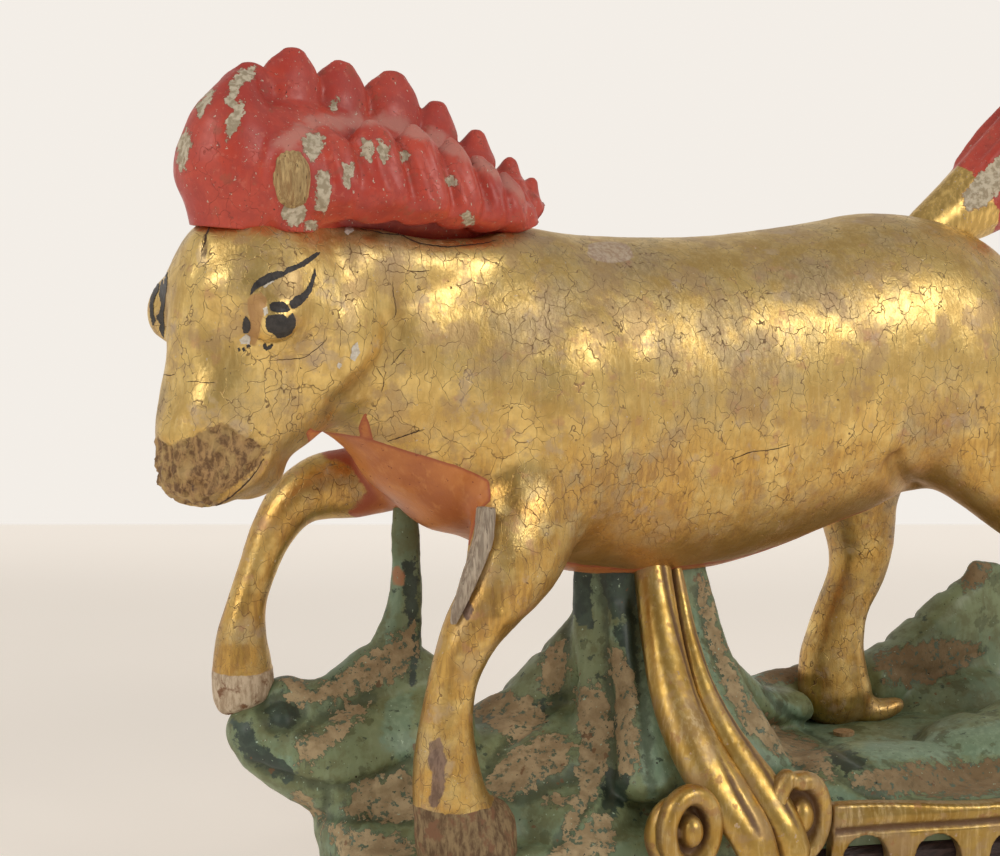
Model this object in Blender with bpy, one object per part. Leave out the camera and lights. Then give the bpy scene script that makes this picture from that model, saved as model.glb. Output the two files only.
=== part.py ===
"""A carved, gilded and painted wooden horse striding on a green rockwork stand.

The horse faces -X with its left flank toward -Y, and +Z is up. All tables are in millimetres, in the carver's
frame, and SHIFT moves them so that the middle of the underside of the board is at the origin."""

import math

import bmesh
import bpy
from mathutils import Vector

# ---- driving dimensions, mm ----
MM = 0.001
GAP = 0.3  # joint between two pieces
SHIFT = Vector((-50.65, 10.16, 0.0))
BOARD_TOP = 18.0
FRIEZE_LOW, FRIEZE_TOP = 3.0, 29.3
FRIEZE_THICK = 5.2
ARCH_R = 6.3
DOWEL_R = 3.0
PIN_R = 1.6
TURN = math.radians(17.0)  # the head's turn toward the left flank
HEAD_X, HEAD_Y = -62.0, -6.0

for old in list(bpy.data.objects):
    bpy.data.objects.remove(old, do_unlink=True)

FWD = Vector((-math.cos(TURN), -math.sin(TURN), 0.0))
LEFT = Vector((math.sin(TURN), -math.cos(TURN), 0.0))
UP = Vector((0.0, 0.0, 1.0))


def head(f, l, z):
    """A point of the head: f forward of its middle, l toward its left, z up."""
    return Vector((HEAD_X, HEAD_Y, 0.0)) + FWD * f + LEFT * l + UP * z


# ---- modelling helpers ----
def curve_through(rows, steps):
    """The rows of numbers with `steps` rows to each gap, on a Catmull-Rom curve."""
    out = []
    n = len(rows)
    for i in range(n - 1):
        a, b, c, d = rows[max(i - 1, 0)], rows[i], rows[i + 1], rows[min(i + 2, n - 1)]
        for k in range(steps):
            t = k / steps
            out.append(
                tuple(
                    0.5
                    * (
                        2 * q
                        + (r - p) * t
                        + (2 * p - 5 * q + 4 * r - s) * t * t
                        + (3 * q - p - 3 * r + s) * t**3
                    )
                    for p, q, r, s in zip(a, b, c, d)
                )
            )
    out.append(tuple(rows[-1]))
    return out


def loft(bm, rows, across=(0, 1, 0), sides=20, power=2.0, steps=3, domes=(0.8, 0.8), flutes=(0, 0.0), facing=None):
    """A closed body through the rows (x, y, z, half-width across, half-width the other way).

    The sections stand square to the path or, where facing is given, to that direction."""
    rows = curve_through(rows, steps)
    points = [Vector(r[:3]) for r in rows]
    n = len(points)
    across = Vector(across)
    rings = []

    def ring(centre, u, v, ru, rv):
        verts = []
        for i in range(sides):
            a = 2 * math.pi * i / sides
            c, s = math.cos(a), math.sin(a)
            k = (abs(c) ** power + abs(s) ** power) ** (-1 / power)
            k *= 1 + flutes[1] * math.cos(flutes[0] * a)
            verts.append(bm.verts.new((centre + u * (ru * c * k) + v * (rv * s * k) + SHIFT) * MM))
        return verts

    frames = []
    for i in range(n):
        t = Vector(facing) if facing else (points[min(i + 1, n - 1)] - points[max(i - 1, 0)]).normalized()
        u = (across - t * across.dot(t)).normalized()
        frames.append((t, u, t.cross(u)))

    def dome(i, way, amount):
        t, u, v = frames[i]
        ru, rv = rows[i][3], rows[i][4]
        reach = amount * min(ru, rv)
        found = []
        for angle in (30, 58):
            a = math.radians(angle)
            found.append(ring(points[i] + t * (way * reach * math.sin(a)), u, v, ru * math.cos(a), rv * math.cos(a)))
        pole = bm.verts.new((points[i] + t * (way * reach) + SHIFT) * MM)
        return found, pole

    start, start_pole = dome(0, -1, domes[0])
    end, end_pole = dome(n - 1, 1, domes[1])
    rings += start[::-1]
    for i in range(n):
        t, u, v = frames[i]
        rings.append(ring(points[i], u, v, rows[i][3], rows[i][4]))
    rings += end
    made = []
    for a, b in zip(rings, rings[1:]):
        for i in range(sides):
            j = (i + 1) % sides
            made.append(bm.faces.new((a[i], a[j], b[j], b[i])))
    for i in range(sides):
        j = (i + 1) % sides
        made.append(bm.faces.new((rings[0][j], rings[0][i], start_pole)))
        made.append(bm.faces.new((rings[-1][i], rings[-1][j], end_pole)))
    bmesh.ops.recalc_face_normals(bm, faces=made)


def ball(bm, centre, radii, axes=None, subdivisions=3):
    """An ellipsoid. axes are the directions of its radii."""
    made = bmesh.ops.create_icosphere(bm, subdivisions=subdivisions, radius=1.0)
    axes = axes or (Vector((1, 0, 0)), Vector((0, 1, 0)), UP)
    centre = Vector(centre) + SHIFT
    for v in made["verts"]:
        p = centre
        for value, axis, r in zip(v.co.copy(), axes, radii):
            p = p + axis * (value * r)
        v.co = p * MM


def sheet_block(bm, rows, half, top):
    """A block above a line: the rows (x, z) give its underside, half its reach in Y, top its upper face."""
    low = [bm.verts.new((Vector((x, -half, z)) + SHIFT) * MM) for x, z in rows]
    low2 = [bm.verts.new((Vector((x, half, z)) + SHIFT) * MM) for x, z in rows]
    up = [bm.verts.new((Vector((x, -half, top)) + SHIFT) * MM) for x, _ in rows]
    up2 = [bm.verts.new((Vector((x, half, top)) + SHIFT) * MM) for x, _ in rows]
    n = len(rows)
    for i in range(n - 1):
        bm.faces.new((low[i], low2[i], low2[i + 1], low[i + 1]))
        bm.faces.new((up[i], up[i + 1], up2[i + 1], up2[i]))
        bm.faces.new((low[i], low[i + 1], up[i + 1], up[i]))
        bm.faces.new((low2[i], up2[i], up2[i + 1], low2[i + 1]))
    bm.faces.new((low[0], up[0], up2[0], low2[0]))
    bm.faces.new((low[-1], low2[-1], up2[-1], up[-1]))
    bmesh.ops.recalc_face_normals(bm, faces=bm.faces[:])


def prism(bm, outline, z0, z1):
    """An upright prism over the outline [(x, y), ...]."""
    low = [bm.verts.new((Vector((x, y, z0)) + SHIFT) * MM) for x, y in outline]
    high = [bm.verts.new((Vector((x, y, z1)) + SHIFT) * MM) for x, y in outline]
    n = len(outline)
    bm.faces.new(low)
    bm.faces.new(high)
    for i in range(n):
        j = (i + 1) % n
        bm.faces.new((low[i], low[j], high[j], high[i]))
    bmesh.ops.recalc_face_normals(bm, faces=bm.faces[:])


def rod(bm, a, b, r, sides=12):
    """A round rod from a to b."""
    a, b = Vector(a), Vector(b)
    t = (b - a).normalized()
    u = t.orthogonal().normalized()
    v = t.cross(u)
    rings = [
        [
            bm.verts.new((p + u * (r * math.cos(2 * math.pi * i / sides)) + v * (r * math.sin(2 * math.pi * i / sides)) + SHIFT) * MM)
            for i in range(sides)
        ]
        for p in (a, b)
    ]
    made = [bm.faces.new(rings[0]), bm.faces.new(rings[1])]
    for i in range(sides):
        j = (i + 1) % sides
        made.append(bm.faces.new((rings[0][i], rings[0][j], rings[1][j], rings[1][i])))
    bmesh.ops.recalc_face_normals(bm, faces=made)


def add(name, bm, smooth=True):
    mesh = bpy.data.meshes.new(name)
    bm.to_mesh(mesh)
    bm.free()
    obj = bpy.data.objects.new(name, mesh)
    bpy.context.scene.collection.objects.link(obj)
    for p in mesh.polygons:
        p.use_smooth = smooth
    return obj


def bake(obj):
    """Applies the modifiers."""
    bpy.context.view_layer.update()
    graph = bpy.context.evaluated_depsgraph_get()
    mesh = bpy.data.meshes.new_from_object(obj.evaluated_get(graph))
    obj.modifiers.clear()
    old = obj.data
    obj.data = mesh
    bpy.data.meshes.remove(old)
    mesh.name = obj.name
    return obj


def triangles(obj):
    return sum(len(p.vertices) - 2 for p in obj.data.polygons)


def fuse(name, bm, voxel, smooth, target):
    """Melts the overlapping bodies in bm into one carved shape of about `target` triangles."""
    obj = add(name, bm)
    m = obj.modifiers.new("melt", "REMESH")
    m.mode = "VOXEL"
    m.voxel_size = voxel * MM
    m.use_smooth_shade = True
    if smooth:
        m = obj.modifiers.new("soften", "SMOOTH")
        m.factor = 0.5
        m.iterations = smooth
    bake(obj)
    thin(obj, target)
    return obj


def thin(obj, target):
    count = triangles(obj)
    if count > target:
        m = obj.modifiers.new("thin", "DECIMATE")
        m.ratio = target / count
        m.use_collapse_triangulate = True
        bake(obj)


def cutter(name, build):
    bm = bmesh.new()
    build(bm)
    obj = add(name, bm)
    obj.hide_render = True
    obj.display_type = "WIRE"
    return obj


def boolean(obj, other, operation):
    m = obj.modifiers.new(operation.lower(), "BOOLEAN")
    m.operation = operation
    m.solver = "EXACT"
    m.object = other
    bake(obj)


def swollen(obj, by):
    """A copy of the object, larger by `by` all round, used as a cutter."""
    copy = bpy.data.objects.new(obj.name + "_swollen", obj.data.copy())
    bpy.context.scene.collection.objects.link(copy)
    m = copy.modifiers.new("swell", "DISPLACE")
    m.strength = by * MM
    m.mid_level = 0.0
    m.direction = "NORMAL"
    bake(copy)
    copy.hide_render = True
    copy.display_type = "WIRE"
    return copy


def seat(obj, *others, by=GAP):
    """Cuts the object back from its neighbours, leaving the joint gap."""
    for other in others:
        tool = swollen(other, by)
        boolean(obj, tool, "DIFFERENCE")
        drop(tool)


def drop(obj):
    mesh = obj.data
    bpy.data.objects.remove(obj, do_unlink=True)
    bpy.data.meshes.remove(mesh)


def keep_largest(obj):
    """Drops the crumbs that a cut leaves."""
    bm = bmesh.new()
    bm.from_mesh(obj.data)
    bm.verts.ensure_lookup_table()
    seen, groups = set(), []
    for v in bm.verts:
        if v.index in seen:
            continue
        stack, group = [v], []
        seen.add(v.index)
        while stack:
            w = stack.pop()
            group.append(w)
            for e in w.link_edges:
                o = e.other_vert(w)
                if o.index not in seen:
                    seen.add(o.index)
                    stack.append(o)
        groups.append(group)
    groups.sort(key=len)
    for group in groups[:-1]:
        bmesh.ops.delete(bm, geom=group, context="VERTS")
    bm.to_mesh(obj.data)
    bm.free()


def material(name, colour, metallic, rough, coat=0.0):
    m = bpy.data.materials.new(name)
    m.use_nodes = True
    shader = m.node_tree.nodes["Principled BSDF"]
    shader.inputs["Base Color"].default_value = (*colour, 1.0)
    shader.inputs["Metallic"].default_value = metallic
    shader.inputs["Roughness"].default_value = rough
    shader.inputs["Coat Weight"].default_value = coat
    return m


FINISH = {
    "gold": ((0.46, 0.29, 0.08), 0.8, 0.36, 0.1),
    "red": ((0.42, 0.05, 0.035), 0.0, 0.5, 0.1),
    "green": ((0.17, 0.27, 0.18), 0.0, 0.72, 0.0),
    "wood": ((0.42, 0.27, 0.14), 0.0, 0.65, 0.0),
    "dark": ((0.035, 0.02, 0.025), 0.0, 0.35, 0.2),
}
PIECES = []


def finish(obj, kind):
    colour, metallic, rough, coat = FINISH[kind]
    m = material(obj.name + "_" + kind, colour, metallic, rough, coat)
    obj.data.materials.clear()
    obj.data.materials.append(m)
    for p in obj.data.polygons:
        p.material_index = 0
    PIECES.append(obj)
    return obj


# ---- tables of the carving ----
# Trunk and neck, from the rump forward: x, y, z, half-width in Y, half-height.
TRUNK = [
    (158, 0, 138, 17, 20),
    (152, 0, 138.5, 24, 29),
    (142, 0, 138.5, 29, 34.5),
    (128, 0, 138.5, 32, 38),
    (113, 0, 138.5, 32.5, 39),
    (98, 0, 136, 31.5, 39.5),
    (80, 0, 132.5, 31, 41),
    (60, 0, 130, 31.5, 42),
    (40, 0, 129.7, 32, 42.3),
    (20, 0, 131.5, 32, 41.5),
    (4, 0, 135.0, 31, 40.5),
    (-10, 0, 137.5, 29.5, 39.0),
    (-22, 0, 139, 26.5, 37),
    (-33, 0, 145.5, 24, 31.5),
    (-43, -1, 151, 22, 27.5),
    (-52, -3, 154, 21.5, 25),
    (-60, -5, 157, 20, 22),
]
# Head: f, z, half-width, half-depth.
HEAD = [
    (-6.0, 176, 13.5, 16.5),
    (-4.4, 171, 17.0, 21.0),
    (-2.0, 165, 20.0, 25.4),
    (0, 157, 21.6, 28.0),
    (3, 149, 19.8, 25.5),
    (8, 141, 17.0, 21.5),
    (14, 134, 14.5, 18),
    (17.0, 127, 13.0, 15.2),
    (17.5, 120.5, 11.6, 13.2),
]
# Line of the joint between neck and mane: x, z.
MANE_SEAT = [
    (-120, 179),
    (-85, 178.2),
    (-72, 177),
    (-60, 176.4),
    (-48, 176.2),
    (-40, 175.4),
    (-32, 173.6),
    (-23, 172.6),
    (-12, 173.0),
    (-3, 174.6),
    (5, 177.4),
    (12, 182),
    (30, 200),
]
# Mane: core of the crest along the neck: x, y, z, half-width, half-height.
MANE_CORE = [
    (7, 0, 177.5, 3.0, 4.5),
    (0, 0, 178, 6.5, 8),
    (-10, 0, 179.5, 9.5, 11),
    (-22, 0, 182, 12, 14),
    (-35, 0, 184.5, 14, 16),
    (-48, -2, 186, 15.5, 17.5),
    (-60, -5, 187, 16, 18),
    (-71, -8.5, 187, 14, 17),
    (-79, -11, 186, 11, 14),
]
# The upper row of locks: x, y, z of the tip, half-length along the neck, height below the tip.
TIPS = [
    (-67.0, -6.5, 212.8, 7.5, 26),
    (-56, -5, 216.5, 7.0, 27),
    (-43, -2.5, 214, 7.0, 25),
    (-28.5, 0, 212, 7.5, 25),
    (-17, 0, 205.2, 5.8, 20),
    (-6.2, 0, 198.4, 5.2, 17),
    (3, 0, 191.8, 4.3, 13),
    (9.2, 0, 187.0, 4.0, 10),
]
# The lower row, on each flank of the neck: x, out from the middle, z of the top, half-length, drop.
LOBES = [
    (-55, 17.5, 199, 7.0, 20),
    (-43, 17.5, 200.5, 6.6, 22),
    (-31.5, 16.5, 199.5, 6.3, 22),
    (-21, 14.5, 196.5, 5.6, 20),
    (-12, 12, 193, 5.0, 17),
    (-4, 9.5, 189, 4.3, 13),
    (2.5, 6.5, 184.5, 3.6, 10),
]
# Legs: x, y, z, half-width in Y, half-width in the plane of the flank.
FORELEG_LEFT = [
    (2, -15, 122, 12, 17),
    (-3, -21, 110, 10.5, 15),
    (-9, -25, 100, 9.5, 12.5),
    (-15, -27, 90, 8.2, 9.2),
    (-21, -27, 82.2, 7.2, 7.4),
    (-24.5, -27, 76, 6.3, 6.4),
    (-27, -27, 69, 5.6, 5.9),
    (-28.6, -27, 61, 5.8, 6.3),
    (-29, -27, 52, 6.8, 7.6),
    (-28.2, -27, 43, 8.0, 8.8),
    (-27, -27, 38.5, 8.4, 9.2),
]
HOOF_LEFT = [(-27, -27, 39, 8.4, 9.4), (-25.5, -27, 33, 9.0, 10.8), (-23.5, -27, 27, 9.8, 12.4), (-23, -27, 23.5, 9.8, 12.4)]
FORELEG_RIGHT = [
    (-8, 15, 122, 10, 15),
    (-20, 18, 114, 9.5, 11),
    (-30, 20, 111, 8.6, 9.2),
    (-39, 22, 110, 7.6, 8.4),
    (-47, 22, 106.5, 6.4, 6.8),
    (-53, 22, 98.8, 5.3, 5.5),
    (-56.8, 22, 90, 4.7, 4.8),
    (-59.7, 22, 82, 4.8, 5.0),
    (-61, 22, 74.3, 5.8, 6.3),
    (-61, 22, 66.5, 7.0, 7.6),
]
HOOF_RIGHT = [(-61, 22, 65.5, 7.0, 7.6), (-60.8, 22, 60, 7.0, 7.6), (-60, 22, 57.5, 6.8, 7.2)]
HINDLEG_RIGHT = [
    (127, 15, 122, 13, 19),
    (127, 18, 106, 12, 16),
    (127.5, 20, 94, 10.5, 12),
    (129, 20, 82, 9.2, 9.6),
    (127.5, 20, 73, 7.8, 8.2),
    (123.5, 20, 65, 7.2, 7.5),
    (120.8, 20, 57, 7.8, 8.2),
    (119.6, 20, 50, 8.8, 9.4),
    (119.8, 20, 44, 9.6, 10.4),
]
HINDLEG_LEFT = [
    (129, -16, 126, 15, 22),
    (139, -20, 114, 13.5, 18),
    (149, -23, 102, 11.5, 13.5),
    (158, -24, 91, 9.2, 9.6),
    (166, -24, 80, 7.4, 7.6),
    (170, -24, 71, 6.6, 6.6),
    (171, -24, 62, 6.6, 6.8),
    (169.5, -24, 53, 7.6, 8.2),
    (168, -24, 47, 8.2, 9.0),
]
HOOF_HIND_LEFT = [(168, -24, 47.5, 8.2, 9.0), (166.5, -24, 42, 8.6, 10.2), (165.5, -24, 37, 9.0, 11.0)]
TAIL = [
    (128, 0, 166.5, 5.2, 6.2),
    (134, 0, 171.5, 6.2, 7.4),
    (142, 0, 176.0, 7.4, 9.0),
    (151, 0, 181.0, 8.8, 11.0),
    (160, 0, 186.8, 9.8, 12.8),
    (170, 0, 194.5, 9.8, 13.4),
    (178, 0, 203.5, 8.6, 12.4),
    (185, 0, 213.5, 6.4, 9.6),
    (191, 0, 221.5, 3.6, 5.2),
]
# Rockwork, y across unless said.
SPIRE = [
    (-21, 12, 106, 2.0, 2.9),
    (-20.6, 12, 98, 2.3, 3.4),
    (-20.4, 12, 88, 2.6, 3.9),
    (-21.3, 12, 78, 3.2, 5.0),
    (-23.5, 12.5, 69, 4.4, 7.0),
    (-26, 13, 61, 6.0, 9.0),
]
PILLAR = [
    (41, 0, 92, 10.8, 18.2),
    (41, -0.5, 84, 12.3, 18.7),
    (41.5, -2, 74, 15, 19.5),
    (42, -5, 64, 17.5, 20.5),
    (42.5, -8, 55, 21, 22.5),
    (43, -11, 47, 24, 25.5),
    (43.5, -13, 38, 27, 30),
]


def board_point(angle, grow):
    """A point of the plan of the board, a long rounded shape, fuller toward the right of its front."""
    c, s = math.cos(angle), math.sin(angle)
    k = (abs(c) ** 2.8 + abs(s) ** 2.8) ** (-1 / 2.8)
    x = 68 + (117 + grow) * c * k
    y = -3 + (38 + grow) * s * k
    if s < 0:
        y -= 19 * math.exp(-(((x - 130) / 48) ** 2)) * min(1.0, -s * 2.5)
    else:
        y += 4 * math.exp(-(((x - 130) / 48) ** 2)) * min(1.0, s * 2.5)
    return x, y


def board_outline(grow, count=40):
    return [board_point(2 * math.pi * i / count, grow) for i in range(count)]


# ---- horse: trunk, neck and head ----
def build_body(bm):
    loft(bm, TRUNK, sides=28, power=2.15, domes=(0.55, 0.2), facing=(-1, 0, 0))
    loft(
        bm,
        [(*head(f, 0, z), rl, rf) for f, z, rl, rf in HEAD],
        across=LEFT,
        sides=24,
        power=2.3,
        domes=(0.3, 0.55),
    )
    # poll, brows, eyes and cheeks
    for side in (1, -1):
        ball(bm, head(13, 17.0 * side, 157.0), (8.0, 5.8, 6.6), (FWD, LEFT, UP))
        ball(bm, head(12, 11.5 * side, 165), (8.5, 7.5, 5.5), (FWD, LEFT, UP))
        ball(bm, head(-8, 14.5 * side, 151), (15, 8.6, 17), (FWD, LEFT, UP))
        ball(bm, (8, -24.0 * side, 132), (19, 10, 26))
        ball(bm, (128, -22 * side, 135), (23, 12, 27))
    ball(bm, head(14.5, -18.0, 158.5), (9.0, 7.4, 8.5), (FWD, LEFT, UP))
    # nose bridge, lips and jaw
    loft(bm, [(*head(18, 0, 172), 8, 6), (*head(22.5, 0, 158), 8.5, 5.5), (*head(24, 0, 144), 8, 6), (*head(26, 0, 130), 8, 7)], across=LEFT, sides=14)
    ball(bm, head(22, 0, 121.5), (11.2, 12.0, 8.8), (FWD, LEFT, UP))
    ball(bm, head(9.5, 0, 120.5), (9.5, 9.2, 7.4), (FWD, LEFT, UP))
    loft(bm, [(*head(-12, 0, 143), 9, 8), (*head(0, 0, 132), 9, 8), (*head(8, 0, 125), 8.5, 7)], across=LEFT, sides=14)
    # breast
    ball(bm, (-24, 0, 127), (16, 20, 19))
    ball(bm, (-7, 0, 119), (19, 24, 19.5))
    # crest of the neck, under the mane
    loft(
        bm,
        [(0, 0, 164, 20, 11), (-12, 0, 163.5, 21, 11.5), (-25, 0, 163.5, 21.5, 12), (-40, -1, 165, 21.5, 12), (-54, -4, 166, 21, 12)],
        sides=20,
        power=2.8,
        domes=(0.6, 0.3),
    )


bm = bmesh.new()
build_body(bm)
body = fuse("horse_body", bm, 1.9, 14, 2300)

bm = bmesh.new()
loft(bm, MANE_CORE, sides=20, power=2.2, domes=(0.6, 0.6))
loft(bm, [(*head(6.0, 0, 177), 11.2, 10.4), (*head(9.2, 0, 184), 12.8, 12.8), (*head(11.0, 0, 191), 13.0, 14.0), (*head(11.5, 0, 199), 10.5, 10.8), (*head(10.2, 0, 205), 7.0, 6.4), (*head(8.6, 0, 208.5), 4.0, 3.8)], across=LEFT, sides=18, domes=(0.3, 0.7))
for x, y, z, along, drop_by in TIPS:
    lean = Vector((0.2, 0.0, 1.0)).normalized()
    tip = Vector((x, y, z))
    loft(
        bm,
        [(*(tip - lean * 1.2), 1.7, along * 0.34), (*(tip - lean * 5), 3.3, along * 0.72), (*(tip - lean * (drop_by * 0.45)), 5.6, along * 0.96), (*(tip - lean * drop_by), 8.5, along)],
        sides=14,
        domes=(0.8, 0.2),
    )
for side in (-1, 1):
    for x, out, z, along, drop_by in LOBES:
        y = side * (out - 1.0) - 2.0 * max(0.0, min(1.0, (-30 - x) / 30))
        top = Vector((x, y, z))
        slope = Vector((0.0, side * 0.28, -1.0)).normalized()
        loft(
            bm,
            [(*(top + slope * 1.5), 2.0, along * 0.35), (*(top + slope * 5), 4.2, along * 0.85), (*(top + slope * (drop_by * 0.6)), 5.2, along * 1.05), (*(top + slope * drop_by), 5.5, along * 1.05)],
            sides=14,
            domes=(0.8, 0.2),
        )
    ball(bm, head(4, side * 11.5, 187), (10, 8.5, 12), (FWD, LEFT, UP))
mane = fuse("mane_crest", bm, 1.5, 3, 1700)

block = cutter("mane_seat", lambda b: sheet_block(b, MANE_SEAT, 60, 240))
boolean(body, block, "DIFFERENCE")
drop(block)
block = cutter("mane_seat", lambda b: sheet_block(b, [(x, z + GAP) for x, z in MANE_SEAT], 60, 240))
boolean(mane, block, "INTERSECT")
drop(block)
seat(mane, body)
keep_largest(body)
keep_largest(mane)


# ---- ears ----
def ear(bm, side):
    root = head(4, 13 * side, 181)
    lean = (UP * 0.84 - FWD * 0.5 + LEFT * (0.2 * side)).normalized()
    rows = [
        (*(root - lean * 3), 4.2, 5.0),
        (*(root + lean * 4), 4.6, 5.6),
        (*(root + lean * 12), 4.2, 5.2),
        (*(root + lean * 19), 2.4, 3.4),
        (*(root + lean * 22), 1.0, 1.4),
    ]
    loft(bm, rows, across=LEFT, sides=10, domes=(0.3, 0.5), steps=1)


bm = bmesh.new()
root = head(7.5, 17.0, 187)
face = (LEFT * 1.0 + UP * 0.25).normalized()
loft(bm, [(*(root - face * 9), 3.6, 5.2), (*(root - face * 3), 3.9, 5.8), (*(root + face * 2.2), 3.4, 5.2)], across=FWD, sides=14, domes=(0.15, 0.35), steps=1)
ear_stub = add("left_ear_stub", bm)
bm = bmesh.new()
ear(bm, -1)
ear_right = add("right_ear", bm)
for piece in (ear_stub, ear_right):
    tool = swollen(piece, GAP)
    boolean(mane, tool, "DIFFERENCE")
    drop(tool)
    seat(piece, body)
    keep_largest(piece)
keep_largest(mane)


# ---- legs ----
def leg(name, rows, hoof, target, extra=None):
    bm = bmesh.new()
    loft(bm, rows, sides=18, power=2.1, domes=(0.3, 0.15))
    if hoof:
        loft(bm, hoof, sides=18, power=2.1, domes=(0.1, 0.12))
    if extra:
        extra(bm)
    return fuse(name, bm, 1.5, 5, target)


def heel(bm):
    ball(bm, (-17.5, -27, 31), (7, 6.5, 9))


def hind_foot(bm):
    ball(bm, (120.5, 20, 39), (11.2, 10.4, 10.5))
    loft(bm, [(124, 18, 34.5, 6, 4.4), (132, 15, 33.0, 4.8, 3.6), (138.5, 13, 34.5, 3.0, 2.4)], sides=12)


fore_left = leg("foreleg_left", FORELEG_LEFT, HOOF_LEFT, 400, heel)
fore_right = leg("foreleg_right", FORELEG_RIGHT, HOOF_RIGHT, 360)
hind_right = leg("hindleg_right", HINDLEG_RIGHT, None, 380, hind_foot)
hind_left = leg("hindleg_left", HINDLEG_LEFT, HOOF_HIND_LEFT, 400)
legs = (fore_left, fore_right, hind_right, hind_left)
for piece in legs:
    seat(piece, body)
    keep_largest(piece)

bm = bmesh.new()
loft(
    bm,
    [(-17.8, -30.5, 110.5, 3.0, 2.2), (-19.3, -31.5, 103, 2.9, 2.6), (-22.5, -32.2, 95, 2.6, 2.7), (-26.0, -32.0, 87, 2.2, 2.3), (-28.8, -31.0, 79, 1.5, 1.6)],
    sides=10,
    power=3.2,
    steps=1,
    domes=(0.12, 0.5),
)
splice = add("foreleg_left_splice", bm)
seat(splice, body, fore_left)
keep_largest(splice)

# ---- tail ----
bm = bmesh.new()
loft(bm, TAIL, sides=18, domes=(0.5, 0.9))
for y in (-5.2, 0, 5.2):
    loft(bm, [(154, y, 183, 3.2, 10.5), (165, y * 1.2, 190.5, 3.6, 13), (175, y * 1.1, 200.5, 3.2, 12.5), (185, y * 0.7, 213.5, 2.4, 8.5)], sides=12)
tail = fuse("tail", bm, 1.5, 3, 480)
seat(tail, body)
keep_largest(tail)


# ---- stand ----
def below(z):
    return lambda b: prism(b, [(-140, -120), (260, -120), (260, 120), (-140, 120)], -80, z)


def half_space(x, keep_low):
    a, b = (x, 400) if keep_low else (-400, x)
    return lambda m: prism(m, [(a, -120), (b, -120), (b, 120), (a, 120)], -80, 300)


def cut_with(obj, build, operation="DIFFERENCE"):
    tool = cutter(obj.name + "_tool", build)
    boolean(obj, tool, operation)
    drop(tool)


bm = bmesh.new()
prism(bm, board_outline(0), 0, BOARD_TOP)
board = add("plinth_board", bm, False)
m = board.modifiers.new("ease", "BEVEL")
m.width = 1.6 * MM
m.segments = 1
m.limit_method = "ANGLE"
m.angle_limit = math.radians(50)
bake(board)

bm = bmesh.new()
prism(bm, board_outline(-1.2), BOARD_TOP - 4, 27)
loft(
    bm,
    [(-38, 4, 22, 22, 10), (-22, 3, 24, 30, 13), (-4, 7, 26, 33, 21), (22, 8, 27, 34, 25), (50, 7, 26, 35, 24), (74, 6, 25, 36, 14), (98, 5, 24, 37, 7.5), (140, 3, 24, 34, 7.0), (170, 0, 24, 24, 8)],
    sides=30,
    domes=(0.6, 0.6),
)
loft(bm, [(70, 22, 36, 11, 9), (86, 26, 36.5, 10, 8), (102, 30, 36, 9, 7.6), (120, 32, 37, 8.5, 7.6), (138, 30, 38, 9, 8), (152, 28, 39, 9, 9)], sides=20, domes=(0.6, 0.4))
ball(bm, (-24, -25, 20), (21, 17, 7.5))
ball(bm, (10, -14, 26), (20, 20, 12))
ball(bm, (100, -22, 27), (34, 18, 8.5))
ball(bm, (146, -20, 27), (26, 20, 11))
rock_main = fuse("rock_main", bm, 2.4, 6, 1100)
cut_with(rock_main, below(BOARD_TOP + GAP))
cut_with(rock_main, half_space(-24, False))

bm = bmesh.new()
loft(bm, [(-10, 8, 36, 15, 24), (-24, 10, 38, 16, 21), (-38, 12.5, 42, 15.5, 16), (-50, 15.5, 45.5, 13.5, 11.5), (-58, 17, 48.5, 10, 8.5)], sides=22, domes=(0.2, 0.8))
loft(bm, [(-20, 4, 22, 26, 12), (-34, 4, 24, 22, 10), (-43, 6, 28, 14, 7)], sides=22, domes=(0.2, 0.6))
ball(bm, (-51, 18, 57), (6.8, 7, 6.5))
ball(bm, (-60, 17, 50.5), (7.0, 8, 7.0))
loft(bm, [(-48, 16, 55, 7, 6), (-38, 14.5, 58, 6.5, 6.5), (-26, 13.5, 62, 6, 9), (-16, 12, 58, 5, 9)], sides=14)
rock_lobe = fuse("rock_left_lobe", bm, 2.0, 4, 560)
cut_with(rock_lobe, below(BOARD_TOP + GAP))
cut_with(rock_lobe, half_space(-24 - GAP, True))
keep_largest(rock_lobe)

bm = bmesh.new()
loft(bm, PILLAR, sides=40, power=2.2, domes=(0.1, 0.3), flutes=(8, 0.07), facing=(0, 0, -1))
loft(bm, [(31, 4, 68, 8, 9), (24, 8, 58, 9, 9.5), (15, 12, 49, 9.5, 8.5), (3, 15, 42.5, 9, 7)], sides=16)
loft(bm, [(58, 3, 64, 6, 7), (67, 7, 55, 7, 7.5), (78, 12, 46, 8, 7), (92, 18, 39, 9, 5.5), (106, 22, 36, 9, 5)], sides=16)
pillar = fuse("rock_pillar", bm, 1.8, 2, 700)
seat(pillar, rock_main, body)
keep_largest(pillar)

bm = bmesh.new()
loft(bm, SPIRE, sides=14, power=2.4, domes=(0.3, 0.2))
spire = fuse("rock_spire", bm, 1.2, 1, 240)
seat(spire, body, rock_main, rock_lobe, fore_right)
keep_largest(spire)

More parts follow.
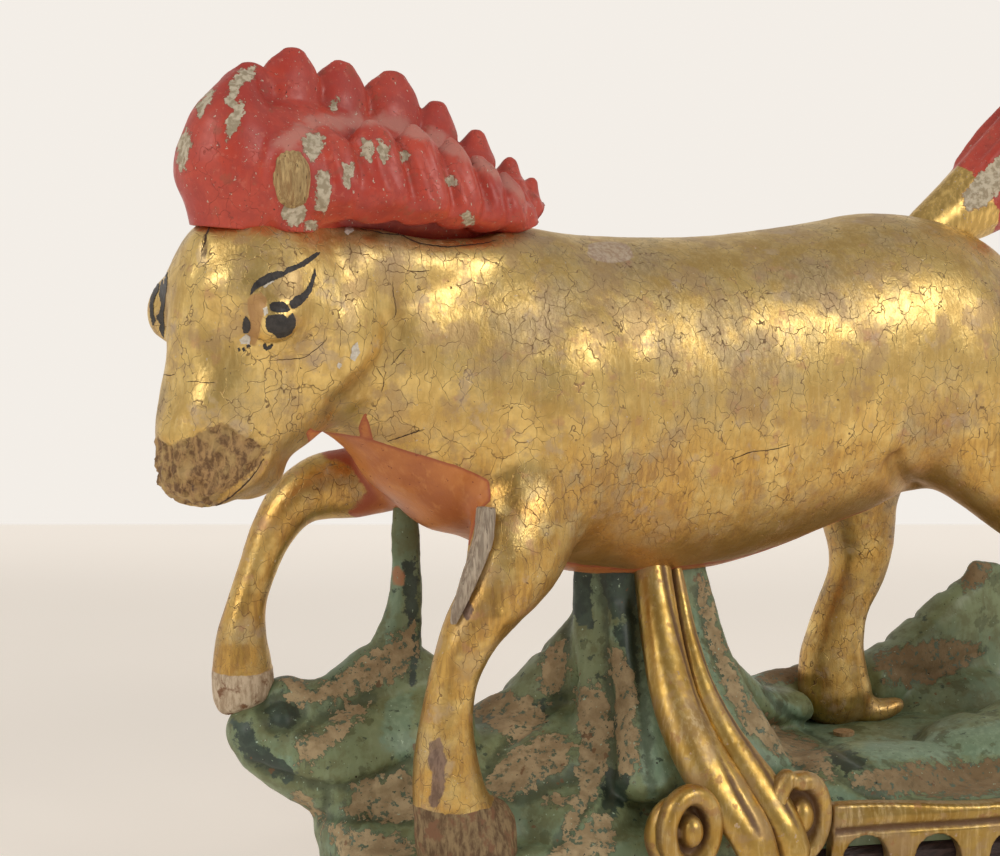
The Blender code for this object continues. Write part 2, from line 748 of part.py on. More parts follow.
bm = bmesh.new()
loft(bm, [(136, 26, 38, 9, 7), (148, 27, 40, 8, 10), (158, 27, 43, 7, 13.5), (168, 26, 46.5, 6, 17.5), (177, 25, 47, 5, 19), (184, 24, 44, 4, 16)], sides=20, power=3.4, domes=(0.3, 0.2), facing=(1, 0, 0))
loft(bm, [(179, 24.5, 56, 3.4, 8.2), (179.5, 24.5, 64, 3.0, 7.4), (180.5, 24.5, 70.5, 2.6, 6.2)], sides=14, power=4, domes=(0.2, 0.25))
loft(bm, [(171, 25.5, 58, 3.2, 4.5), (171.8, 25.5, 65, 2.6, 2.6)], sides=12, power=3, domes=(0.2, 0.3))
loft(bm, [(150, 22, 29, 10, 8), (166, 20, 30, 12, 9), (178, 18, 30, 10, 9)], sides=16)
crag = fuse("rock_crag", bm, 1.7, 2, 360)

bm = bmesh.new()
loft(bm, [(150, -22, 26, 20, 12), (160, -23, 30, 18, 13), (170, -22, 28, 14, 12)], sides=18)
step = fuse("rock_rear_step", bm, 1.8, 3, 320)
seat(step, rock_main)
cut_with(step, below(BOARD_TOP + GAP))
keep_largest(step)
seat(crag, rock_main, step)
keep_largest(crag)

# gilt water falling from under the belly, and the scrolls at its foot
bm = bmesh.new()
loft(bm, [(37.5, -11, 91, 4.3, 5), (36.8, -14.5, 82, 4.6, 5), (35.0, -21, 70, 5.0, 5.2), (33.4, -29, 58, 5.5, 5.6), (34.4, -37, 47.5, 6.0, 5.6), (38.2, -45, 37, 6.3, 5.0), (42, -50, 29, 5.2, 3.6)], across=(1, 0, 0), sides=16)
rib_left = fuse("cascade_left", bm, 1.3, 2, 280)
bm = bmesh.new()
loft(bm, [(44.8, -9, 91, 3.2, 5), (44.4, -12.5, 82, 3.4, 5), (43.4, -19, 70, 3.8, 5), (42.8, -27, 58, 4.2, 5), (45.2, -35, 47, 4.9, 5), (50.2, -43, 37, 5.4, 4.6), (54.6, -49, 28, 4.2, 3.6)], across=(1, 0, 0), sides=16)
rib_right = fuse("cascade_right", bm, 1.2, 2, 260)


def volute(bm, cx, cy, cz, r0, r1, turns, start, tube0, tube1, stretch, knob):
    rows = []
    n = int(12 * turns)
    for i in range(n + 1):
        t = i / n
        a = start + 2 * math.pi * turns * t
        r = r0 + (r1 - r0) * t
        tube = tube0 + (tube1 - tube0) * t
        rows.append((cx + r * math.cos(a), cy - 1.5 * t, cz + r * stretch * math.sin(a), tube * 1.15, tube))
    loft(bm, rows, across=(0, 1, 0), sides=12, steps=1)
    ball(bm, (cx, cy - 1.0, cz), (knob, knob * 1.1, knob * stretch), subdivisions=2)


bm = bmesh.new()
volute(bm, 25.5, -47.5, 31, 7.0, 6.6, 0.92, math.radians(-70), 2.7, 2.5, 1.25, 3.7)
ball(bm, (25.5, -43, 29), (8.5, 5, 9.5))
scroll_left = fuse("scroll_left", bm, 1.1, 1, 440)
bm = bmesh.new()
volute(bm, 60.5, -46.5, 29.5, 6.9, 5.6, 0.95, math.radians(115), 2.5, 2.4, 1.45, 3.3)
ball(bm, (62, -43, 29), (8, 5, 10.5))
scroll_right = fuse("scroll_right", bm, 1.1, 1, 440)
seat(rib_left, body, pillar, rock_main)
keep_largest(rib_left)
seat(rib_right, body, pillar, rock_main, rib_left)
keep_largest(rib_right)
for piece in (scroll_left, scroll_right):
    cut_with(piece, below(BOARD_TOP + GAP))
    seat(piece, rock_main, pillar)
    seat(piece, rib_left, rib_right, by=0.5)
    seat(piece, rib_left, rib_right, by=0.12)
    keep_largest(piece)

for piece, others in ((fore_left, (rock_main, rock_lobe)), (fore_right, (rock_lobe, spire)), (hind_right, (rock_main, pillar, crag)), (hind_left, (step, rock_main, crag))):
    seat(piece, *others)
    keep_largest(piece)


# ---- gilt openwork round the board ----
ROUND = 720
PLAN = [board_point(-math.pi + 2 * math.pi * i / ROUND, GAP) for i in range(ROUND + 1)]
RUN = [0.0]
for (x0, y0), (x1, y1) in zip(PLAN, PLAN[1:]):
    RUN.append(RUN[-1] + math.hypot(x1 - x0, y1 - y0))


def on_plan(length, out=0.0):
    """The point of the plan this far along its edge, counted from the left end round by the front."""
    i = min(range(ROUND), key=lambda k: abs(RUN[k] - length))
    a, b = PLAN[max(i - 2, 0)], PLAN[min(i + 2, ROUND)]
    along = Vector((b[0] - a[0], b[1] - a[1], 0)).normalized()
    normal = Vector((along.y, -along.x, 0))
    return Vector((*PLAN[i], 0)) + normal * out, along, normal


def run_at(x, front):
    """How far along the edge the plan passes x."""
    ids = range(0, ROUND // 2) if front else range(ROUND // 2, ROUND)
    return RUN[min(ids, key=lambda k: abs(PLAN[k][0] - x))]


def frieze(name, s0, s1, arches):
    """A strip of openwork from length s0 to s1 of the edge, with round-headed openings."""
    steps = max(12, int((s1 - s0) / 6))
    points = [on_plan(s0 + (s1 - s0) * i / steps) for i in range(steps + 1)]
    inner = [(p.x, p.y) for p, _, _ in points]
    outer = [(p.x + n.x * FRIEZE_THICK, p.y + n.y * FRIEZE_THICK) for p, _, n in points]
    bm = bmesh.new()
    prism(bm, inner + outer[::-1], FRIEZE_LOW, FRIEZE_TOP)
    obj = add(name, bm, False)
    profile = [(-ARCH_R, 7.5), (ARCH_R, 7.5)] + [(ARCH_R * math.cos(t), 15.2 + ARCH_R * math.sin(t)) for t in [math.pi * k / 7 for k in range(8)]]
    for i in range(arches):
        centre, along, out = on_plan(s0 + (s1 - s0) * (i + 0.5) / arches)

        def arch(cuts):
            faces = [[cuts.verts.new((centre + along * s + out * way + UP * z + SHIFT) * MM) for s, z in profile] for way in (-4, 12)]
            made = [cuts.faces.new(faces[0]), cuts.faces.new(faces[1])]
            for k in range(len(profile)):
                j = (k + 1) % len(profile)
                made.append(cuts.faces.new((faces[0][k], faces[0][j], faces[1][j], faces[1][k])))
            bmesh.ops.recalc_face_normals(cuts, faces=made)

        cut_with(obj, arch)
    return obj


front_a, front_b = run_at(69, True), run_at(163, True)
back_a, back_b = run_at(161, False), run_at(-20, False)
frieze_front = frieze("frieze_front", front_a, front_b - 0.3, 5)
frieze_end = frieze("frieze_end", front_b + 0.3, back_a - 0.3, 6)
frieze_back = frieze("frieze_back", back_a + 0.3, back_b, 9)
for piece in (frieze_front, frieze_end, frieze_back):
    seat(piece, rock_main, scroll_right, step, crag)
    keep_largest(piece)


# ---- joinery ----
def peg(name, a, b, r, *into, kind="wood"):
    """A dowel from a to b in a bored hole, which is longer and wider than it by the joint gap."""
    a, b = Vector(a), Vector(b)
    t = (b - a).normalized()
    bm = bmesh.new()
    rod(bm, a, b, r)
    obj = add(name, bm)
    tool = cutter(name + "_bore", lambda m: rod(m, a - t * GAP, b + t * GAP, r + GAP))
    for piece in into:
        boolean(piece, tool, "DIFFERENCE")
    drop(tool)
    return finish(obj, kind)


peg("dowel_foreleg_left", (-13, -26.5, 93), (6, -10, 120), DOWEL_R, fore_left, body)
peg("dowel_foreleg_right", (-37, 22, 110), (-8, 12, 118), DOWEL_R, fore_right, body)
peg("dowel_hindleg_right", (128.5, 20, 84), (127, 12, 116), DOWEL_R, hind_right, body)
peg("dowel_hindleg_left", (153, -23.2, 97), (132, -12, 124), DOWEL_R, hind_left, body)
peg("tail_dowel", (128, 0, 160), (141, 0, 176.5), 2.4, tail, body)
peg("mane_pin_front", (-56, -4.5, 150), (-56, -4.5, 198), PIN_R, mane, body)
peg("mane_pin_rear", (-14, 0, 148), (-14, 0, 186), PIN_R, mane, body)
peg("ear_pin_right", tuple(head(6.0, -9.0, 164)), tuple(head(1.2, -14.4, 186)), 1.2, ear_right, mane, body)
peg("hoof_pin_foreleg_left", (-24, -27, 20), (-24.5, -27, 36), PIN_R, fore_left, rock_main)
peg("hoof_pin_foreleg_right", (-58, 20, 46), (-60.5, 22, 64), PIN_R, fore_right, rock_lobe)
peg("hoof_pin_hindleg_right", (121, 20, 26), (120.5, 20, 46), PIN_R, hind_right, rock_main)
peg("hoof_pin_hindleg_left", (165, -24, 26), (166.5, -24, 45), PIN_R, hind_left, step, rock_main)
peg("pillar_tenon", (41, 0, 66), (41, 0, 106), 5.0, pillar, body)
peg("pillar_dowel", (46, 2, 24), (44, 2, 62), 4.0, pillar, rock_main)
peg("lobe_dowel", (-44, 12, 34), (-8, 8, 34), DOWEL_R, rock_lobe, rock_main)
peg("crag_dowel", (156, 26, 27), (161, 26, 52), 2.4, crag, rock_main)
peg("board_dowel_left", (0, 4, 8), (0, 4, 30), DOWEL_R, board, rock_main)
peg("board_dowel_right", (112, 4, 8), (112, 4, 32), DOWEL_R, board, rock_main)


def nail(name, length, strip):
    """A cut nail through the openwork into the board."""
    p, q = on_plan(length, -9.0)[0], on_plan(length, FRIEZE_THICK + 0.6)[0]
    peg(name, (p.x, p.y, 5.3), (q.x, q.y, 5.3), 0.9, strip, board, kind="dark")


nail("nail_front_left", front_a + 9, frieze_front)
nail("nail_front_right", front_b - 9, frieze_front)
nail("nail_end_front", front_b + 10, frieze_end)
nail("nail_end_back", back_a - 10, frieze_end)
nail("nail_back_left", back_a + 10, frieze_back)
nail("nail_back_right", back_b - 10, frieze_back)

for obj, kind in (
    (body, "gold"), (mane, "red"), (ear_stub, "wood"), (ear_right, "gold"), (tail, "red"), (fore_left, "gold"),
    (fore_right, "gold"), (hind_right, "gold"), (hind_left, "gold"), (splice, "wood"), (rock_main, "green"),
    (rock_lobe, "green"), (pillar, "green"), (spire, "green"), (crag, "green"), (step, "green"),
    (rib_left, "gold"), (rib_right, "gold"), (scroll_left, "gold"), (scroll_right, "gold"), (frieze_front, "gold"),
    (frieze_end, "gold"), (frieze_back, "gold"), (board, "dark"),
):
    keep_largest(obj)
    finish(obj, kind)
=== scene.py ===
"""Looks of the carved, gilded and painted horse on its rockwork stand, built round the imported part."""

import math

import bmesh
import bpy
import mathutils.geometry
import numpy as np
from mathutils import Matrix, Vector
from mathutils.bvhtree import BVHTree


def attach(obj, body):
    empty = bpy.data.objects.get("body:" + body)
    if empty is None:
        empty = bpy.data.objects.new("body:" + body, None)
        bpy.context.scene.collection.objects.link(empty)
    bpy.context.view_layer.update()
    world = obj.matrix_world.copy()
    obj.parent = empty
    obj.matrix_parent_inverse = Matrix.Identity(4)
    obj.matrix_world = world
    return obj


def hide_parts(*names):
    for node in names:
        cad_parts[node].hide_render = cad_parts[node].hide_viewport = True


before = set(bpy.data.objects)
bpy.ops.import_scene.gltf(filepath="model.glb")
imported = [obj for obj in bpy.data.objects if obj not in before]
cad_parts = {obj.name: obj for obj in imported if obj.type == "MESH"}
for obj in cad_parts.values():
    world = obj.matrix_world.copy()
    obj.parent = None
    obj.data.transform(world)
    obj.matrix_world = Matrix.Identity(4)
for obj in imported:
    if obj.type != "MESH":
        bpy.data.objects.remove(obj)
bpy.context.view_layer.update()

# ---- the carver's tables, mm, as in the part ----
MM = 0.001
GAP = 0.3
SHIFT = Vector((-50.65, 10.16, 0.0))
BOARD_TOP = 18.0
FRIEZE_LOW, FRIEZE_TOP = 3.0, 29.3
FRIEZE_THICK = 5.2
ARCH_R = 6.3
TURN = math.radians(17.0)
HEAD_X, HEAD_Y = -62.0, -6.0
FWD = Vector((-math.cos(TURN), -math.sin(TURN), 0.0))
LEFT = Vector((math.sin(TURN), -math.cos(TURN), 0.0))
UP = Vector((0.0, 0.0, 1.0))


def head(f, l, z):
    return Vector((HEAD_X, HEAD_Y, 0.0)) + FWD * f + LEFT * l + UP * z


# ---- modelling helpers ----
def curve_through(rows, steps):
    """The rows of numbers with `steps` rows to each gap, on a Catmull-Rom curve."""
    out = []
    n = len(rows)
    for i in range(n - 1):
        a, b, c, d = rows[max(i - 1, 0)], rows[i], rows[i + 1], rows[min(i + 2, n - 1)]
        for k in range(steps):
            t = k / steps
            out.append(
                tuple(
                    0.5
                    * (
                        2 * q
                        + (r - p) * t
                        + (2 * p - 5 * q + 4 * r - s) * t * t
                        + (3 * q - p - 3 * r + s) * t**3
                    )
                    for p, q, r, s in zip(a, b, c, d)
                )
            )
    out.append(tuple(rows[-1]))
    return out


def loft(bm, rows, across=(0, 1, 0), sides=20, power=2.0, steps=3, domes=(0.8, 0.8), flutes=(0, 0.0), facing=None):
    """A closed body through the rows (x, y, z, half-width across, half-width the other way).

    The sections stand square to the path or, where facing is given, to that direction."""
    rows = curve_through(rows, steps)
    points = [Vector(r[:3]) for r in rows]
    n = len(points)
    across = Vector(across)
    rings = []

    def ring(centre, u, v, ru, rv):
        verts = []
        for i in range(sides):
            a = 2 * math.pi * i / sides
            c, s = math.cos(a), math.sin(a)
            k = (abs(c) ** power + abs(s) ** power) ** (-1 / power)
            k *= 1 + flutes[1] * math.cos(flutes[0] * a)
            verts.append(bm.verts.new((centre + u * (ru * c * k) + v * (rv * s * k) + SHIFT) * MM))
        return verts

    frames = []
    for i in range(n):
        t = Vector(facing) if facing else (points[min(i + 1, n - 1)] - points[max(i - 1, 0)]).normalized()
        u = (across - t * across.dot(t)).normalized()
        frames.append((t, u, t.cross(u)))

    def dome(i, way, amount):
        t, u, v = frames[i]
        ru, rv = rows[i][3], rows[i][4]
        reach = amount * min(ru, rv)
        found = []
        for angle in (30, 58):
            a = math.radians(angle)
            found.append(ring(points[i] + t * (way * reach * math.sin(a)), u, v, ru * math.cos(a), rv * math.cos(a)))
        pole = bm.verts.new((points[i] + t * (way * reach) + SHIFT) * MM)
        return found, pole

    start, start_pole = dome(0, -1, domes[0])
    end, end_pole = dome(n - 1, 1, domes[1])
    rings += start[::-1]
    for i in range(n):
        t, u, v = frames[i]
        rings.append(ring(points[i], u, v, rows[i][3], rows[i][4]))
    rings += end
    made = []
    for a, b in zip(rings, rings[1:]):
        for i in range(sides):
            j = (i + 1) % sides
            made.append(bm.faces.new((a[i], a[j], b[j], b[i])))
    for i in range(sides):
        j = (i + 1) % sides
        made.append(bm.faces.new((rings[0][j], rings[0][i], start_pole)))
        made.append(bm.faces.new((rings[-1][i], rings[-1][j], end_pole)))
    bmesh.ops.recalc_face_normals(bm, faces=made)


def ball(bm, centre, radii, axes=None, subdivisions=3):
    """An ellipsoid. axes are the directions of its radii."""
    made = bmesh.ops.create_icosphere(bm, subdivisions=subdivisions, radius=1.0)
    axes = axes or (Vector((1, 0, 0)), Vector((0, 1, 0)), UP)
    centre = Vector(centre) + SHIFT
    for v in made["verts"]:
        p = centre
        for value, axis, r in zip(v.co.copy(), axes, radii):
            p = p + axis * (value * r)
        v.co = p * MM


def sheet_block(bm, rows, half, top):
    """A block above a line: the rows (x, z) give its underside, half its reach in Y, top its upper face."""
    low = [bm.verts.new((Vector((x, -half, z)) + SHIFT) * MM) for x, z in rows]
    low2 = [bm.verts.new((Vector((x, half, z)) + SHIFT) * MM) for x, z in rows]
    up = [bm.verts.new((Vector((x, -half, top)) + SHIFT) * MM) for x, _ in rows]
    up2 = [bm.verts.new((Vector((x, half, top)) + SHIFT) * MM) for x, _ in rows]
    n = len(rows)
    for i in range(n - 1):
        bm.faces.new((low[i], low2[i], low2[i + 1], low[i + 1]))
        bm.faces.new((up[i], up[i + 1], up2[i + 1], up2[i]))
        bm.faces.new((low[i], low[i + 1], up[i + 1], up[i]))
        bm.faces.new((low2[i], up2[i], up2[i + 1], low2[i + 1]))
    bm.faces.new((low[0], up[0], up2[0], low2[0]))
    bm.faces.new((low[-1], low2[-1], up2[-1], up[-1]))
    bmesh.ops.recalc_face_normals(bm, faces=bm.faces[:])


def prism(bm, outline, z0, z1):
    """An upright prism over the outline [(x, y), ...]."""
    low = [bm.verts.new((Vector((x, y, z0)) + SHIFT) * MM) for x, y in outline]
    high = [bm.verts.new((Vector((x, y, z1)) + SHIFT) * MM) for x, y in outline]
    n = len(outline)
    bm.faces.new(low)
    bm.faces.new(high)
    for i in range(n):
        j = (i + 1) % n
        bm.faces.new((low[i], low[j], high[j], high[i]))
    bmesh.ops.recalc_face_normals(bm, faces=bm.faces[:])


def rod(bm, a, b, r, sides=12):
    """A round rod from a to b."""
    a, b = Vector(a), Vector(b)
    t = (b - a).normalized()
    u = t.orthogonal().normalized()
    v = t.cross(u)
    rings = [
        [
            bm.verts.new((p + u * (r * math.cos(2 * math.pi * i / sides)) + v * (r * math.sin(2 * math.pi * i / sides)) + SHIFT) * MM)
            for i in range(sides)
        ]
        for p in (a, b)
    ]
    made = [bm.faces.new(rings[0]), bm.faces.new(rings[1])]
    for i in range(sides):
        j = (i + 1) % sides
        made.append(bm.faces.new((rings[0][i], rings[0][j], rings[1][j], rings[1][i])))
    bmesh.ops.recalc_face_normals(bm, faces=made)


def add(name, bm, smooth=True):
    mesh = bpy.data.meshes.new(name)
    bm.to_mesh(mesh)
    bm.free()
    obj = bpy.data.objects.new(name, mesh)
    bpy.context.scene.collection.objects.link(obj)
    for p in mesh.polygons:
        p.use_smooth = smooth
    return obj


def bake(obj):
    """Applies the modifiers."""
    bpy.context.view_layer.update()
    graph = bpy.context.evaluated_depsgraph_get()
    mesh = bpy.data.meshes.new_from_object(obj.evaluated_get(graph))
    obj.modifiers.clear()
    old = obj.data
    obj.data = mesh
    bpy.data.meshes.remove(old)
    mesh.name = obj.name
    return obj


def triangles(obj):
    return sum(len(p.vertices) - 2 for p in obj.data.polygons)


def fuse(name, bm, voxel, smooth, target):
    """Melts the overlapping bodies in bm into one carved shape of about `target` triangles."""
    obj = add(name, bm)
    m = obj.modifiers.new("melt", "REMESH")
    m.mode = "VOXEL"
    m.voxel_size = voxel * MM
    m.use_smooth_shade = True
    if smooth:
        m = obj.modifiers.new("soften", "SMOOTH")
        m.factor = 0.5
        m.iterations = smooth
    bake(obj)
    thin(obj, target)
    return obj


def thin(obj, target):
    count = triangles(obj)
    if count > target:
        m = obj.modifiers.new("thin", "DECIMATE")
        m.ratio = target / count
        m.use_collapse_triangulate = True
        bake(obj)


def cutter(name, build):
    bm = bmesh.new()
    build(bm)
    obj = add(name, bm)
    obj.hide_render = True
    obj.display_type = "WIRE"
    return obj


def boolean(obj, other, operation):
    m = obj.modifiers.new(operation.lower(), "BOOLEAN")
    m.operation = operation
    m.solver = "EXACT"
    m.object = other
    bake(obj)


def swollen(obj, by):
    """A copy of the object, larger by `by` all round, used as a cutter."""
    copy = bpy.data.objects.new(obj.name + "_swollen", obj.data.copy())
    bpy.context.scene.collection.objects.link(copy)
    m = copy.modifiers.new("swell", "DISPLACE")
    m.strength = by * MM
    m.mid_level = 0.0
    m.direction = "NORMAL"
    bake(copy)
    copy.hide_render = True
    copy.display_type = "WIRE"
    return copy


def seat(obj, *others, by=GAP):
    """Cuts the object back from its neighbours, leaving the joint gap."""
    for other in others:
        tool = swollen(other, by)
        boolean(obj, tool, "DIFFERENCE")
        drop(tool)


def drop(obj):
    mesh = obj.data
    bpy.data.objects.remove(obj, do_unlink=True)
    bpy.data.meshes.remove(mesh)


def keep_largest(obj):
    """Drops the crumbs that a cut leaves."""
    bm = bmesh.new()
    bm.from_mesh(obj.data)
    bm.verts.ensure_lookup_table()
    seen, groups = set(), []
    for v in bm.verts:
        if v.index in seen:
            continue
        stack, group = [v], []
        seen.add(v.index)
        while stack:
            w = stack.pop()
            group.append(w)
            for e in w.link_edges:
                o = e.other_vert(w)
                if o.index not in seen:
                    seen.add(o.index)
                    stack.append(o)
        groups.append(group)
    groups.sort(key=len)
    for group in groups[:-1]:
        bmesh.ops.delete(bm, geom=group, context="VERTS")
    bm.to_mesh(obj.data)
    bm.free()


# ---- tables of the carving ----
# Trunk and neck, from the rump forward: x, y, z, half-width in Y, half-height.
TRUNK = [
    (158, 0, 138, 17, 20),
    (152, 0, 138.5, 24, 29),
    (142, 0, 138.5, 29, 34.5),
    (128, 0, 138.5, 32, 38),
    (113, 0, 138.5, 32.5, 39),
    (98, 0, 136, 31.5, 39.5),
    (80, 0, 132.5, 31, 41),
    (60, 0, 130, 31.5, 42),
    (40, 0, 129.7, 32, 42.3),
    (20, 0, 131.5, 32, 41.5),
    (4, 0, 135.0, 31, 40.5),
    (-10, 0, 137.5, 29.5, 39.0),
    (-22, 0, 139, 26.5, 37),
    (-33, 0, 145.5, 24, 31.5),
    (-43, -1, 151, 22, 27.5),
    (-52, -3, 154, 21.5, 25),
    (-60, -5, 157, 20, 22),
]
# Head: f, z, half-width, half-depth.
HEAD = [
    (-6.0, 176, 13.5, 16.5),
    (-4.4, 171, 17.0, 21.0),
    (-2.0, 165, 20.0, 25.4),
    (0, 157, 21.6, 28.0),
    (3, 149, 19.8, 25.5),
    (8, 141, 17.0, 21.5),
    (14, 134, 14.5, 18),
    (17.0, 127, 13.0, 15.2),
    (17.5, 120.5, 11.6, 13.2),
]
# Line of the joint between neck and mane: x, z.
MANE_SEAT = [
    (-120, 179),
    (-85, 178.2),
    (-72, 177),
    (-60, 176.4),
    (-48, 176.2),
    (-40, 175.4),
    (-32, 173.6),
    (-23, 172.6),
    (-12, 173.0),
    (-3, 174.6),
    (5, 177.4),
    (12, 182),
    (30, 200),
]
# Mane: core of the crest along the neck: x, y, z, half-width, half-height.
MANE_CORE = [
    (7, 0, 177.5, 3.0, 4.5),
    (0, 0, 178, 6.5, 8),
    (-10, 0, 179.5, 9.5, 11),
    (-22, 0, 182, 12, 14),
    (-35, 0, 184.5, 14, 16),
    (-48, -2, 186, 15.5, 17.5),
    (-60, -5, 187, 16, 18),
    (-71, -8.5, 187, 14, 17),
    (-79, -11, 186, 11, 14),
]
# The upper row of locks: x, y, z of the tip, half-length along the neck, height below the tip.
TIPS = [
    (-67.0, -6.5, 212.8, 7.5, 26),
    (-56, -5, 216.5, 7.0, 27),
    (-43, -2.5, 214, 7.0, 25),
    (-28.5, 0, 212, 7.5, 25),
    (-17, 0, 205.2, 5.8, 20),
    (-6.2, 0, 198.4, 5.2, 17),
    (3, 0, 191.8, 4.3, 13),
    (9.2, 0, 187.0, 4.0, 10),
]
# The lower row, on each flank of the neck: x, out from the middle, z of the top, half-length, drop.
LOBES = [
    (-55, 17.5, 199, 7.0, 20),
    (-43, 17.5, 200.5, 6.6, 22),
    (-31.5, 16.5, 199.5, 6.3, 22),
    (-21, 14.5, 196.5, 5.6, 20),
    (-12, 12, 193, 5.0, 17),
    (-4, 9.5, 189, 4.3, 13),
    (2.5, 6.5, 184.5, 3.6, 10),
]
# Legs: x, y, z, half-width in Y, half-width in the plane of the flank.
FORELEG_LEFT = [
    (2, -15, 122, 12, 17),
    (-3, -21, 110, 10.5, 15),
    (-9, -25, 100, 9.5, 12.5),
    (-15, -27, 90, 8.2, 9.2),
    (-21, -27, 82.2, 7.2, 7.4),
    (-24.5, -27, 76, 6.3, 6.4),
    (-27, -27, 69, 5.6, 5.9),
    (-28.6, -27, 61, 5.8, 6.3),
    (-29, -27, 52, 6.8, 7.6),
    (-28.2, -27, 43, 8.0, 8.8),
    (-27, -27, 38.5, 8.4, 9.2),
]
HOOF_LEFT = [(-27, -27, 39, 8.4, 9.4), (-25.5, -27, 33, 9.0, 10.8), (-23.5, -27, 27, 9.8, 12.4), (-23, -27, 23.5, 9.8, 12.4)]
FORELEG_RIGHT = [
    (-8, 15, 122, 10, 15),
    (-20, 18, 114, 9.5, 11),
    (-30, 20, 111, 8.6, 9.2),
    (-39, 22, 110, 7.6, 8.4),
    (-47, 22, 106.5, 6.4, 6.8),
    (-53, 22, 98.8, 5.3, 5.5),
    (-56.8, 22, 90, 4.7, 4.8),
    (-59.7, 22, 82, 4.8, 5.0),
    (-61, 22, 74.3, 5.8, 6.3),
    (-61, 22, 66.5, 7.0, 7.6),
]
HOOF_RIGHT = [(-61, 22, 65.5, 7.0, 7.6), (-60.8, 22, 60, 7.0, 7.6), (-60, 22, 57.5, 6.8, 7.2)]
HINDLEG_RIGHT = [
    (127, 15, 122, 13, 19),
    (127, 18, 106, 12, 16),
    (127.5, 20, 94, 10.5, 12),
    (129, 20, 82, 9.2, 9.6),
    (127.5, 20, 73, 7.8, 8.2),
    (123.5, 20, 65, 7.2, 7.5),
    (120.8, 20, 57, 7.8, 8.2),
    (119.6, 20, 50, 8.8, 9.4),
    (119.8, 20, 44, 9.6, 10.4),
]
HINDLEG_LEFT = [
    (129, -16, 126, 15, 22),
    (139, -20, 114, 13.5, 18),
    (149, -23, 102, 11.5, 13.5),
    (158, -24, 91, 9.2, 9.6),
    (166, -24, 80, 7.4, 7.6),
    (170, -24, 71, 6.6, 6.6),
    (171, -24, 62, 6.6, 6.8),
    (169.5, -24, 53, 7.6, 8.2),
    (168, -24, 47, 8.2, 9.0),
]
HOOF_HIND_LEFT = [(168, -24, 47.5, 8.2, 9.0), (166.5, -24, 42, 8.6, 10.2), (165.5, -24, 37, 9.0, 11.0)]
TAIL = [
    (128, 0, 166.5, 5.2, 6.2),
    (134, 0, 171.5, 6.2, 7.4),
    (142, 0, 176.0, 7.4, 9.0),
    (151, 0, 181.0, 8.8, 11.0),
    (160, 0, 186.8, 9.8, 12.8),
    (170, 0, 194.5, 9.8, 13.4),
    (178, 0, 203.5, 8.6, 12.4),
    (185, 0, 213.5, 6.4, 9.6),
    (191, 0, 221.5, 3.6, 5.2),
]
# Rockwork, y across unless said.
SPIRE = [
    (-21, 12, 106, 2.0, 2.9),
    (-20.6, 12, 98, 2.3, 3.4),
    (-20.4, 12, 88, 2.6, 3.9),
    (-21.3, 12, 78, 3.2, 5.0),
    (-23.5, 12.5, 69, 4.4, 7.0),
    (-26, 13, 61, 6.0, 9.0),
]
PILLAR = [
    (41, 0, 92, 10.8, 18.2),
    (41, -0.5, 84, 12.3, 18.7),
    (41.5, -2, 74, 15, 19.5),
    (42, -5, 64, 17.5, 20.5),
    (42.5, -8, 55, 21, 22.5),
    (43, -11, 47, 24, 25.5),
    (43.5, -13, 38, 27, 30),
]


def board_point(angle, grow):
    """A point of the plan of the board, a long rounded shape, fuller toward the right of its front."""
    c, s = math.cos(angle), math.sin(angle)
    k = (abs(c) ** 2.8 + abs(s) ** 2.8) ** (-1 / 2.8)
    x = 68 + (117 + grow) * c * k
    y = -3 + (38 + grow) * s * k
    if s < 0:
        y -= 19 * math.exp(-(((x - 130) / 48) ** 2)) * min(1.0, -s * 2.5)
    else:
        y += 4 * math.exp(-(((x - 130) / 48) ** 2)) * min(1.0, s * 2.5)
    return x, y


def board_outline(grow, count=40):
    return [board_point(2 * math.pi * i / count, grow) for i in range(count)]


# ---- the camera the photograph was taken with ----
AZ, EL, DIST, FOCAL = math.radians(-28.0), math.radians(7.0), 520.0, 2080.0
BACK = Vector((math.sin(AZ) * math.cos(EL), -math.cos(AZ) * math.cos(EL), math.sin(EL)))
RIGHT = Vector((math.cos(AZ), math.sin(AZ), 0.0))
CAM_UP = BACK.cross(RIGHT)
AIM = Vector((0.0, 0.0, 125.0))
EYE = AIM + BACK * DIST


def seen_ray(px, py):
    """From the eye through a point of the 1000 x 856 picture."""
    return (RIGHT * ((px - 500) / FOCAL) - CAM_UP * ((py - 428) / FOCAL) - BACK).normalized()


def picture(points):
    """Where points in carver's millimetres fall in the picture."""
    p = points - np.array(EYE)
    d = -(p @ np.array(BACK))
    return 500 + FOCAL * (p @ np.array(RIGHT)) / d, 428 - FOCAL * (p @ np.array(CAM_UP)) / d


# ---- mesh tools ----
def coords(obj):
    """Points in carver's millimetres."""
    a = np.empty(len(obj.data.vertices) * 3, np.float32)
    obj.data.vertices.foreach_get("co", a)
    return a.reshape(-1, 3).astype(np.float64) * 1000 - np.array(SHIFT)


def set_coords(obj, points):
    obj.data.vertices.foreach_set("co", ((points + np.array(SHIFT)) * MM).astype(np.float32).ravel())
    obj.data.update()


def normals(obj):
    a = np.empty(len(obj.data.vertices) * 3, np.float32)
    obj.data.vertex_normals.foreach_get("vector", a)
    return a.reshape(-1, 3).astype(np.float64)


def attribute(obj, name, values):
    layer = obj.data.attributes.new(name, "FLOAT", "POINT")
    layer.data.foreach_set("value", np.ascontiguousarray(values, np.float32))


def smoothstep(a, b, x):
    t = np.clip((x - a) / (b - a), 0, 1)
    return t * t * (3 - 2 * t)


